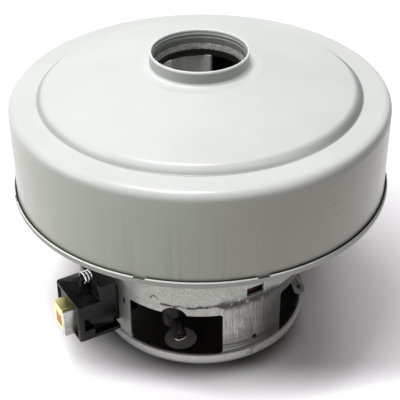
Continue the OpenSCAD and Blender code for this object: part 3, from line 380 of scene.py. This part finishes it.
millimetre = 1e-3
cover_outline = rounded([
    # wall, shoulder, ridge, cone and neck, outside
    (66.4, 62.8, 0.05), (66.4, 97.0, 3.2), (56.2, 97.0, 0.9), (53.6, 99.5, 3.0), (21.75, 106.8, 2.2),
    (17.2, 106.8, 1.0), (17.2, 112.1, 0.39),
    # two rolled beads inside the neck
    (16.4, 112.1, 0.39), (16.4, 110.9, 0.15), (16.1, 110.5, 0.15), (16.1, 110.0, 0.12), (16.4, 109.75, 0.08),
    (16.4, 109.55, 0.08), (16.1, 109.25, 0.12), (16.1, 108.7, 0.15), (16.4, 108.3, 0.15),
    # the sheet's inner face, from the neck to the foot
    (16.4, 106.0, 1.8), (21.6, 106.0, 2.2), (53.2, 98.7, 2.0), (55.7, 96.2, 2.0), (65.6, 96.2, 2.4),
    (65.6, 62.8, 0.05)], 8)
cover_grid = revolved(cover_outline * millimetre, 240)
cover_shell = grid_piece("cover_shell", cover_grid, cover_paint, "fan_cover")
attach(cover_shell, "housing")


# Inlet seal: a felt ring pressed under the cover's flat ring, close over the impeller's eye.
# Its fibres stand out of the cut faces, so the surface is rough and a little uneven.
felt, tree, shader = finish("felt", {"Roughness": 0.95})
point = object_point(tree)
fibre = noise(tree, point, 2400.0, 5.0, 0.7)
patch = noise(tree, point, 260.0, 2.0)
colour = tint(tree, ramp(tree, fibre, 0.35, 0.68), (0.17, 0.17, 0.165, 1.0), (0.66, 0.66, 0.64, 1.0))
colour = tint(tree, ramp(tree, patch, 0.35, 0.75, 0.0, 0.4), colour, (0.42, 0.42, 0.41, 1.0))
feed(tree, shader, {"Base Color": colour, "Normal": relief(tree, fibre, 0.9, 0.0006)})

seal_outline = rounded([
    (15.35, 104.92, 0.1), (15.9, 105.05, 0.1), (16.7, 105.1, 0.15), (16.7, 103.0, 0.2), (20.5, 103.0, 0.3),
    (20.5, 106.0, 0.3), (16.37, 106.0, 0.05), (16.37, 107.4, 0.1)], 4)
seal_grid = revolved(seal_outline, 480)
reach = np.linalg.norm(seal_grid[..., :2], axis=-1, keepdims=True)
fuzz = np.clip(np.random.default_rng(7).normal(0.0, 0.06, reach.shape), -0.1, 0.1)
fuzzy_within = 16.6
seal_grid[..., :2] *= 1 + np.where(reach < fuzzy_within, np.abs(fuzz), 0) / reach
seal_ring = grid_piece("seal_ring", seal_grid * millimetre, felt, "inlet_seal")
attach(seal_ring, "housing")


# Front bracket: a pressed steel plate with the front bearing's cup, staked round the cover's foot.
# The lip caught the edge of the cover's spray and stayed matt; the rest is bare zinc.
def dress(material, *names):
    """Gives CAD pieces a material in place of the one they were packed with."""
    for name in names:
        cad[name].data.materials.clear()
        cad[name].data.materials.append(material)


# zinc_sheet: drawn zinc-plated sheet, with streaks along the draw and turned rings where asked
zinc_sheet, given, result = group(
    "zinc_sheet", [("Point", "Vector"), ("Streaks", "Float"), ("Rings", "Float")],
    [("Color", "Color"), ("Roughness", "Float"), ("Height", "Float")])
tree = zinc_sheet
point, streaks, rings = given.outputs["Point"], given.outputs["Streaks"], given.outputs["Rings"]
drawn = noise(tree, stretched(tree, point, (1.0, 1.0, 0.12)), 1000.0, 4.0, 0.75)
turned = noise(tree, stretched(tree, point, (0.015, 0.015, 1.0)), 1300.0, 3.0, 0.7)
cloud = noise(tree, point, 130.0, 4.0, 0.6)
light = times(tree, streaks, ramp(tree, drawn, 0.5, 0.68))
dark = times(tree, streaks, ramp(tree, drawn, 0.48, 0.34))
line = times(tree, rings, ramp(tree, turned, 0.44, 0.55))
colour = tint(tree, ramp(tree, cloud, 0.3, 0.7), (0.26, 0.27, 0.25, 1.0), (0.4, 0.41, 0.38, 1.0))
colour = tint(tree, light, colour, (0.64, 0.63, 0.555, 1.0))
colour = tint(tree, times(tree, dark, 0.6), colour, (0.13, 0.13, 0.115, 1.0))
colour = tint(tree, times(tree, line, 0.75), colour, (0.06, 0.058, 0.055, 1.0))
feed(tree, result, {"Color": colour, "Roughness": ramp(tree, drawn, 0.25, 0.75, 0.32, 0.5),
                    "Height": maths(tree, "SUBTRACT", drawn, line)})

# overspray: thin dry paint dust on metal, with dark pinholes that let the ground through
overspray, given, result = group(
    "overspray", [("Point", "Vector"), ("Pinholes", "Float")],
    [("Color", "Color"), ("Roughness", "Float"), ("Height", "Float")])
tree = overspray
point, pinholes = given.outputs["Point"], given.outputs["Pinholes"]
grit = noise(tree, stretched(tree, point, (1.0, 1.0, 0.7)), 1500.0, 3.0, 0.7)
cloud = noise(tree, point, 160.0)
grain = times(tree, pinholes, ramp(tree, grit, 0.64, 0.36, 0.0, 0.6))
pits = times(tree, pinholes, ramp(tree, grit, 0.37, 0.3, 0.0, 0.6))
colour = tint(tree, ramp(tree, cloud, 0.3, 0.7), (0.63, 0.645, 0.595, 1.0), (0.74, 0.755, 0.7, 1.0))
colour = tint(tree, grain, colour, (0.4, 0.41, 0.375, 1.0))
colour = tint(tree, pits, colour, (0.12, 0.12, 0.11, 1.0))
feed(tree, result, {"Color": colour, "Roughness": ramp(tree, grit, 0.2, 0.8, 0.6, 0.45), "Height": grit})


def between(tree, share, first, second):
    """Number that runs from the first to the second with the share."""
    return add(tree, "Mix", {0: share, 2: first, 3: second}).outputs[0]


lip_finish, tree, shader = finish("lip_finish", {"IOR": 1.5})
point = object_point(tree)
out, up, around = turned_place(tree, point)
dry = add(tree, "Group", {"Point": point, "Pinholes": 0.12}, node_tree=overspray)
bare = add(tree, "Group", {"Point": point, "Streaks": 0.3, "Rings": 0.0}, node_tree=zinc_sheet)
sprayed = ramp(tree, out, 60.0, 63.0)
# The lip's top edge is worn bright, and also painted as a highlight that fades out towards the right.
worn_and_highlit = times(tree, ramp(tree, up, 64.14, 64.28), ramp(tree, around, 285.0, 262.0, 0.05, 1.0),
             ramp(tree, dry.outputs["Height"], 0.25, 0.5, 0.5, 1.0))
# Painted shade: a dark ring on the lip's top next to the cover's wall.
joint_shade = band(tree, out, 65.0, 66.0, 67.0, 67.15)
colour = tint(tree, sprayed, bare.outputs["Color"], dry.outputs["Color"])
colour = tint(tree, times(tree, sprayed, 0.8), colour, (0.4, 0.41, 0.37, 1.0))
colour = tint(tree, worn_and_highlit, colour, (0.96, 0.98, 0.93, 1.0))
colour = tint(tree, joint_shade, colour, (0.05, 0.05, 0.045, 1.0))
feed(tree, shader, {"Base Color": colour, "Metallic": maths(tree, "MULTIPLY_ADD", sprayed, -0.8, 1.0),
                    "Roughness": between(tree, sprayed, bare.outputs["Roughness"], dry.outputs["Roughness"]),
                    "Normal": relief(tree, dry.outputs["Height"], 0.05, 0.0003)})
dress(lip_finish, "front_bracket")


# Motor frame: a drawn zinc-plated cup with four windows, screwed to the bracket by its flange.
# Spray dust lies on it down to a ragged line, with a dark smear where the mask leaked;
# below that the bare wall shows drawing streaks, and turned rings near its foot.
frame_finish, tree, shader = finish("frame_finish", {"IOR": 1.5})
point = object_point(tree)
out, up, around = turned_place(tree, point)
ragged = noise(tree, stretched(tree, point, (1.0, 1.0, 0.6)), 420.0, 5.0, 0.7)
wander = noise(tree, point, 85.0, 2.0)
edge = maths(tree, "MULTIPLY_ADD", ragged, 2.4, maths(tree, "MULTIPLY_ADD", wander, 2.6, 28.0))
over_edge = maths(tree, "SUBTRACT", up, edge)
masked = maths(tree, "MAXIMUM", ramp(tree, around, 197.3, 198.3), ramp(tree, around, 170.0, 169.0))
dusted = ramp(tree, maths(tree, "MULTIPLY_ADD", ragged, 14.0, around), 258.0, 252.0)
sprayed = maths(tree, "MAXIMUM", ramp(tree, over_edge, -0.15, 0.15), times(tree, dusted, 0.85))
sprayed = times(tree, sprayed, masked)
dry = add(tree, "Group", {"Point": point, "Pinholes": 0.75}, node_tree=overspray)
streaked = times(tree, masked, ramp(tree, up, 11.0, 16.0))
ringed = ramp(tree, up, 18.5, 11.0)
bare = add(tree, "Group", {"Point": point, "Streaks": streaked, "Rings": ringed}, node_tree=zinc_sheet)
in_shadow = ramp(tree, around, 258.0, 284.0, 0.0, 0.85)
zinc = tint(tree, in_shadow, bare.outputs["Color"], (0.075, 0.07, 0.067, 1.0))
# Painted light: the strip round the left brush holder is painted near white, with little metal shine.
zinc = tint(tree, masked, (0.9, 0.92, 0.88, 1.0), zinc)
colour = tint(tree, sprayed, zinc, dry.outputs["Color"])

# The smear follows the ragged line and is broadest on the right
smear_width = maths(tree, "MULTIPLY_ADD", band(tree, around, 246.0, 254.0, 278.0, 290.0), 2.6, 0.8)
smear = ramp(tree, maths(tree, "ABSOLUTE", over_edge), smear_width, 0.1)
smear = times(tree, smear, ramp(tree, noise(tree, point, 420.0, 4.0, 0.7), 0.36, 0.5))
smear = times(tree, smear, band(tree, around, 214.0, 219.0, 280.0, 300.0))

# A bent rub mark on the spray dust, and a dark spot beside the left brush holder
mark_x = times(tree, maths(tree, "SUBTRACT", around, 214.0), 0.67)
mark_z = maths(tree, "SUBTRACT", up, 31.6)
from_arc = maths(tree, "ABSOLUTE", maths(tree, "SUBTRACT", hypot(tree, mark_x, mark_z), 1.4))
mark = times(tree, ramp(tree, from_arc, 0.5, 0.15), ramp(tree, mark_z, -0.6, 0.2),
             ramp(tree, ragged, 0.36, 0.55, 0.2, 0.75))
spot_x = times(tree, maths(tree, "SUBTRACT", around, 192.4), 0.84)
spot_z = times(tree, maths(tree, "SUBTRACT", up, 24.0), 0.6)
mark = maths(tree, "MAXIMUM", mark, ramp(tree, hypot(tree, spot_x, spot_z), 1.1, 0.6, 0.0, 0.85))
dirt = maths(tree, "MAXIMUM", times(tree, smear, 0.92), mark)
colour = tint(tree, dirt, colour, (0.025, 0.025, 0.022, 1.0))
# Painted shade: a dark seam along the frame's foot.
foot_seam_shade = times(tree, ramp(tree, up, 8.7, 8.45), ramp(tree, out, 38.3, 38.2))
colour = tint(tree, foot_seam_shade, colour, (0.02, 0.02, 0.019, 1.0))
metallic = times(tree, maths(tree, "MULTIPLY_ADD", sprayed, -0.4, 0.75), maths(tree, "SUBTRACT", 1.0, smear))
metallic = times(tree, metallic, maths(tree, "MULTIPLY_ADD", masked, 0.9, 0.1))
height = between(tree, sprayed, bare.outputs["Height"], dry.outputs["Height"])
feed(tree, shader, {"Base Color": colour, "Metallic": metallic,
                    "Roughness": between(tree, sprayed, bare.outputs["Roughness"], dry.outputs["Roughness"]),
                    "Normal": relief(tree, height, 0.15, 0.0003)})
dress(frame_finish, "motor_frame")


# Rear bracket: a shallow pressed cup that closes the frame and holds the rear bearing's boss.
# Its smooth satin zinc is rubbed in places where it stood on the bench.
rear_finish, tree, shader = finish("rear_finish", {"Metallic": 0.5})
point = object_point(tree)
around = turned_place(tree, point)[2]
bare = add(tree, "Group", {"Point": point, "Streaks": 0.0, "Rings": 0.0}, node_tree=zinc_sheet)
rub = ramp(tree, noise(tree, stretched(tree, point, (1.0, 1.0, 2.0)), 330.0, 4.0, 0.7), 0.54, 0.6)
rub_share = maths(tree, "MULTIPLY_ADD", band(tree, around, 261.0, 266.0, 274.0, 280.0), 0.6, 0.1)
colour = tint(tree, 0.85, bare.outputs["Color"], (0.85, 0.85, 0.83, 1.0))
colour = tint(tree, times(tree, rub, rub_share), colour, (0.16, 0.13, 0.12, 1.0))
feed(tree, shader, {"Base Color": colour, "Roughness": maths(tree, "MULTIPLY_ADD", rub, 0.15, 0.38)})
dress(rear_finish, "rear_bracket")


# Brush holders: glossy black mouldings that carry tube, terminal and lead, seated on the frame's wall.
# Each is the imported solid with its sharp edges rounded, as they leave the mould.
moulded_grain, given, result = group(
    "moulded_grain", [("Point", "Vector"), ("Shine", "Float")], [("Roughness", "Float"), ("Height", "Float")])
tree = moulded_grain
touched = noise(tree, given.outputs["Point"], 150.0)
feed(tree, result, {"Roughness": maths(tree, "MULTIPLY_ADD", touched, 0.14, given.outputs["Shine"]),
                    "Height": noise(tree, given.outputs["Point"], 2200.0)})


def moulding(name, dark, pale, shine, grain_strength):
    """Black plastic: two close shades in clouds, a cloudy shine and a fine grain."""
    material, tree, shader = finish(name, {"IOR": 1.5, "Specular IOR Level": 0.2})
    point = object_point(tree)
    grain = add(tree, "Group", {"Point": point, "Shine": shine}, node_tree=moulded_grain)
    cloud = noise(tree, point, 220.0, 4.0)
    feed(tree, shader, {"Base Color": tint(tree, ramp(tree, cloud, 0.35, 0.7), dark, pale),
                        "Roughness": grain.outputs["Roughness"],
                        "Normal": relief(tree, grain.outputs["Height"], grain_strength, 0.0002)})
    return material


def softened(name, width, material, edge=None):
    """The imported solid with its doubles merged, its flat faces joined and its sharp edges rounded.

    Where an edge material is given, the rounded edges take it."""
    shape = bmesh.new()
    shape.from_mesh(cad[name].data)
    bmesh.ops.remove_doubles(shape, verts=shape.verts, dist=2e-6)
    bmesh.ops.dissolve_limit(shape, angle_limit=math.radians(1.0), verts=shape.verts, edges=shape.edges)
    mesh = bpy.data.meshes.new(name + "_soft")
    shape.to_mesh(mesh)
    shape.free()
    mesh.polygons.foreach_set("use_smooth", np.ones(len(mesh.polygons), dtype=bool))
    mesh.polygons.foreach_set("material_index", np.zeros(len(mesh.polygons), dtype=np.int32))
    mesh.materials.clear()
    for shade in (material, edge) if edge else (material,):
        mesh.materials.append(shade)
    piece = bpy.data.objects.new(name + "_soft", mesh)
    scene.collection.objects.link(piece)
    bevel = piece.modifiers.new("edges", "BEVEL")
    bevel.width = width * millimetre
    bevel.segments = 2
    bevel.angle_limit = math.radians(40)
    bevel.use_clamp_overlap = False
    bevel.harden_normals = True
    bevel.material = 1 if edge else -1
    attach(piece, cad[name]["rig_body"])
    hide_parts(name)


holder_black = moulding("holder_black", (0.007, 0.0062, 0.0075, 1.0), (0.012, 0.0105, 0.0115, 1.0),
                        0.16, 0.06)
for side in ("left", "right"):
    softened("brush_holder_" + side, 0.22, holder_black)


# Inner mouldings: tray, air guide and coil insulators in a duller black, the hub in brown phenolic.
# The tops of the tray's pads under the windows are painted grey as light falling on them; the brushes are
# pressed carbon.
def overlay(material, share, colour):
    """Lays a colour over the one that a material has, by a share worked out in its tree."""
    tree = material.node_tree
    shader = tree.nodes["Principled BSDF"]
    own = shader.inputs["Base Color"].links[0].from_socket
    feed(tree, shader, {"Base Color": tint(tree, share, own, colour)})


dull_black = moulding("dull_black", (0.008, 0.0072, 0.008, 1.0), (0.014, 0.013, 0.014, 1.0), 0.36, 0.15)
phenolic = moulding("phenolic", (0.03, 0.018, 0.012, 1.0), (0.05, 0.03, 0.02, 1.0), 0.35, 0.2)
carbon = moulding("carbon", (0.02, 0.02, 0.021, 1.0), (0.04, 0.04, 0.042, 1.0), 0.45, 0.5)
tray_black = moulding("tray_black", (0.007, 0.0062, 0.0066, 1.0), (0.011, 0.0098, 0.0104, 1.0), 0.4, 0.1)
tree = tray_black.node_tree
up, around = turned_place(tree, object_point(tree))[1:]
# Painted light: the pads' tops are painted grey.
lit_pad_top = times(tree, ramp(tree, up, 6.0, 6.3), ramp(tree, around, 275.0, 265.0))
overlay(tray_black, lit_pad_top, (0.26, 0.245, 0.25, 1.0))
dress(tray_black, "rear_tray")
dress(dull_black, "air_guide", "field_insulator_front", "field_insulator_rear")
dress(phenolic, "commutator_hub")
dress(carbon, "carbon_brush_left", "carbon_brush_right")


# Brush gear's metal: drawn brass tubes, a copper plate in each end, and plated terminal blades.
# Fingers and heat have stained them in soft clouds; cut edges stay bright.
# The shaft, bearings, screws, washer, spacer and nut are ground steel.
def stained(name, clean, dull, shine):
    """Metal whose clean colour turns dull in clouds, rougher where it is dull, with fine scratches."""
    material, tree, shader = finish(name, {"Metallic": 1.0})
    point = object_point(tree)
    stain = ramp(tree, noise(tree, point, 260.0, 4.0, 0.6), 0.4, 0.75)
    scratch = noise(tree, stretched(tree, point, (0.15, 1.0, 1.0)), 900.0, 3.0, 0.7)
    feed(tree, shader, {"Base Color": tint(tree, stain, clean, dull),
                        "Roughness": maths(tree, "MULTIPLY_ADD", stain, 0.15, shine),
                        "Normal": relief(tree, scratch, 0.1, 0.0002)})
    return material


brass = stained("brass", (0.98, 0.93, 0.5, 1.0), (0.9, 0.8, 0.36, 1.0), 0.34)
copper = stained("copper", (0.5, 0.22, 0.09, 1.0), (0.34, 0.13, 0.05, 1.0), 0.36)
tin = stained("tin", (0.4, 0.41, 0.385, 1.0), (0.27, 0.28, 0.255, 1.0), 0.32)
bright_tin = stained("bright_tin", (0.86, 0.85, 0.84, 1.0), (0.66, 0.65, 0.64, 1.0), 0.22)
# Painted reflection: the left tab's faces are painted near black, as the dark surroundings they mirror.
tin_painted_dark = stained("tin_painted_dark", (0.012, 0.009, 0.01, 1.0), (0.022, 0.018, 0.019, 1.0), 0.3)
dull_tin = stained("dull_tin", (0.085, 0.085, 0.08, 1.0), (0.055, 0.055, 0.051, 1.0), 0.4)
ground_steel = stained("ground_steel", (0.68, 0.68, 0.67, 1.0), (0.52, 0.52, 0.51, 1.0), 0.2)
worn_edge_and_shade = stained("worn_edge_and_shade", (0.86, 0.85, 0.84, 1.0), (0.66, 0.65, 0.64, 1.0), 0.22)
plate = stained("plate", (0.42, 0.16, 0.055, 1.0), (0.3, 0.1, 0.035, 1.0), 0.4)
# Above a height, painted shade darkens the left tab's worn edges, and the copper end plates turn brass.
for material, low, high, colour_above in ((worn_edge_and_shade, 0.0172, 0.0177, (0.015, 0.012, 0.013, 1.0)),
                                          (plate, 0.0212, 0.0219, (0.95, 0.88, 0.45, 1.0))):
    tree = material.node_tree
    height = add(tree, "SeparateXYZ", {0: object_point(tree)}).outputs[2]
    overlay(material, ramp(tree, height, low, high), colour_above)
for side in ("left", "right"):
    softened("brush_tube_" + side, 0.15, brass)
    softened("brush_cap_" + side, 0.12, plate)
    softened("brush_terminal_" + side, 0.12, tin, bright_tin)
softened("terminal_tab_left", 0.14, tin_painted_dark, worn_edge_and_shade)
softened("terminal_tab_right", 0.14, dull_tin)
dress(copper, "commutator_bars")
dress(ground_steel, "shaft", "front_bearing_outer", "front_bearing_inner", "front_bearing_balls",
      "rear_bearing_outer", "rear_bearing_inner", "rear_bearing_balls",
      "air_guide_screws", "frame_screws", "fan_spacer", "fan_washer", "fan_nut")


# Brush leads and springs: a tinned copper rope wound on the holder's post, and a steel coil.
# Each is a round wire carried along its helix, and the rope shows its twisted strands.
def wire_grid(path, radius, sides, strands=0, twist=0.0):
    """A round section carried along a path, square to it.

    Strands dent the section and turn with the length, and both ends are drawn together."""
    dented, end_share = 0.18, 0.02
    along = np.gradient(path, axis=0)
    along[[0, -1]] = along[[1, -2]]
    along /= np.linalg.norm(along, axis=1, keepdims=True)
    across = np.cross(along, [1.0, 0.0, 0.0])
    across /= np.linalg.norm(across, axis=1, keepdims=True)
    upright = np.cross(along, across)
    angle = np.linspace(0, 2 * np.pi, sides, endpoint=False)
    run = np.concatenate([[0.0], np.cumsum(np.linalg.norm(np.diff(path, axis=0), axis=1))])
    lobe = np.abs(np.cos(strands / 2 * (angle[:, None] - twist * run))) if strands else 1.0
    r = radius * (1 - dented + dented * lobe) * np.ones((sides, len(path)))
    r[:, [0, -1]] *= end_share
    circle = np.cos(angle)[:, None, None] * across + np.sin(angle)[:, None, None] * upright
    return path + r[..., None] * circle


rope_turns, rope_pitch, rope_r = 2.5, 1.25, 2.2
rope_x, rope_z, ledge_z = 46.675, 33.6, 28.9
swing = np.linspace(0.0, 2 * np.pi * rope_turns, 180)
rope_along = rope_x + rope_pitch * swing / (2 * np.pi)
winding = np.stack([rope_along, rope_r * np.cos(swing), rope_z + rope_r * np.sin(swing)], axis=-1)
rise = np.linspace(ledge_z, rope_z - 0.1, 24)
foot = np.stack([0 * rise + rope_x, 0 * rise + rope_r, rise], axis=-1)
tail = np.stack([0 * rise + rope_x + rope_turns * rope_pitch, 0 * rise - rope_r, rise[::-1]], axis=-1)
rope = np.concatenate([foot[:1], foot, winding, tail, tail[-1:]])
rope_grid = wire_grid(rope, 0.375, 28, strands=7, twist=2.6)[::-1]

spring_turns, spring_from, spring_to, spring_r, brush_z = 9, 36.13, 59.07, 2.1, 20.75
swing = np.linspace(0.0, 2 * np.pi * spring_turns, 330)
spring_along = spring_from + (spring_to - spring_from) * swing / swing[-1]
spring = np.stack([spring_along, spring_r * np.cos(swing), brush_z + spring_r * np.sin(swing)], axis=-1)
spring = np.concatenate([spring[:1], spring, spring[-1:]])
spring_grid = wire_grid(spring, 0.3, 12)[::-1]

for side, flip in (("right", millimetre), ("left", -millimetre)):
    half_turned = np.array([flip, flip, millimetre])
    lead = grid_piece("lead_rope_" + side, rope_grid * half_turned, bright_tin,
                      "brush_lead_" + side, closed=(True, False))
    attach(lead, "housing")
    coil = grid_piece("spring_coil_" + side, spring_grid * half_turned, ground_steel,
                      "brush_spring_" + side, closed=(True, False))
    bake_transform(coil)


# Field and armature: stacks of dark lamination, wound with enamelled copper wire.
# The stacks show the edges of their sheets, and the coils the run of the wires.
lamination, tree, shader = finish("lamination", {"Metallic": 1.0})
sheet = noise(tree, stretched(tree, object_point(tree), (0.02, 0.02, 1.0)), 2400.0, 2.0, 0.8)
colour = tint(tree, ramp(tree, sheet, 0.35, 0.65), (0.1, 0.1, 0.1, 1.0), (0.3, 0.3, 0.3, 1.0))
feed(tree, shader, {"Base Color": colour, "Roughness": ramp(tree, sheet, 0.3, 0.7, 0.6, 0.4),
                    "Normal": relief(tree, sheet, 0.4, 0.0003)})
dress(lamination, "stator_core", "armature_core")

wire_apart = 0.7
coil_wire, tree, shader = finish("coil_wire", {"IOR": 1.5, "Coat Weight": 0.4})
point = object_point(tree)
out, up = turned_place(tree, point)[:2]
lay = maths(tree, "MULTIPLY_ADD", noise(tree, point, 150.0, 2.0), 1.2, maths(tree, "ADD", up, out))
wire = maths(tree, "ABSOLUTE", maths(tree, "SINE", times(tree, lay, math.pi / wire_apart)))
colour = tint(tree, wire, (0.014, 0.007, 0.005, 1.0), (0.2, 0.072, 0.034, 1.0))
feed(tree, shader, {"Base Color": colour, "Metallic": times(tree, wire, 0.7),
                    "Roughness": ramp(tree, wire, 0.0, 1.0, 0.6, 0.3),
                    "Normal": relief(tree, wire, 0.6, 0.0004)})
dress(coil_wire, "field_coil_front", "field_coil_back", "armature_winding")


# Impeller: two pressed aluminium plates with curved vanes between them, clamped by the nut.
# The sheet has a soft brushed mill finish and a film of fine dust. Painted shade darkens one deep passage
# and the back plate out past the eye, and the front plate is painted black as shade.
fan_sheet, tree, shader = finish("fan_sheet", {"Metallic": 0.35})
point = object_point(tree)
out, up, around = turned_place(tree, point)
brushed = noise(tree, stretched(tree, point, (1.0, 0.1, 1.0)), 1300.0, 4.0, 0.7)
film = ramp(tree, noise(tree, point, 140.0), 0.4, 0.75)
colour = tint(tree, ramp(tree, brushed, 0.3, 0.7), (0.82, 0.83, 0.78, 1.0), (0.93, 0.94, 0.89, 1.0))
colour = tint(tree, times(tree, film, 0.3), colour, (0.6, 0.6, 0.56, 1.0))
# Painted shade: the back plate is painted near black beyond the eye.
back_plate_shade = times(tree, ramp(tree, up, 84.0, 82.5), ramp(tree, out, 23.0, 25.0))
split = add(tree, "SeparateXYZ", {0: point})
past = maths(tree, "MULTIPLY_ADD", split.outputs[0], 0.866, times(tree, split.outputs[1], -0.5))
# Painted shade: one deep passage is painted near black.
deep = times(tree, ramp(tree, past, 0.0045, 0.0049), ramp(tree, around, 80.0, 75.0),
             ramp(tree, out, 14.6, 15.2))
colour = tint(tree, maths(tree, "MAXIMUM", back_plate_shade, deep), colour, (0.02, 0.02, 0.018, 1.0))
feed(tree, shader, {"Base Color": colour, "Roughness": ramp(tree, brushed, 0.2, 0.8, 0.3, 0.48)})
dress(fan_sheet, "impeller_vanes", "impeller_back_plate")
# Painted shade: the front plate is painted in a near black moulding colour.
fan_plate_shade = moulding("fan_plate_shade", (0.006, 0.006, 0.0055, 1.0), (0.014, 0.014, 0.0125, 1.0), 0.6, 0.3)
dress(fan_plate_shade, "impeller_front_plate")
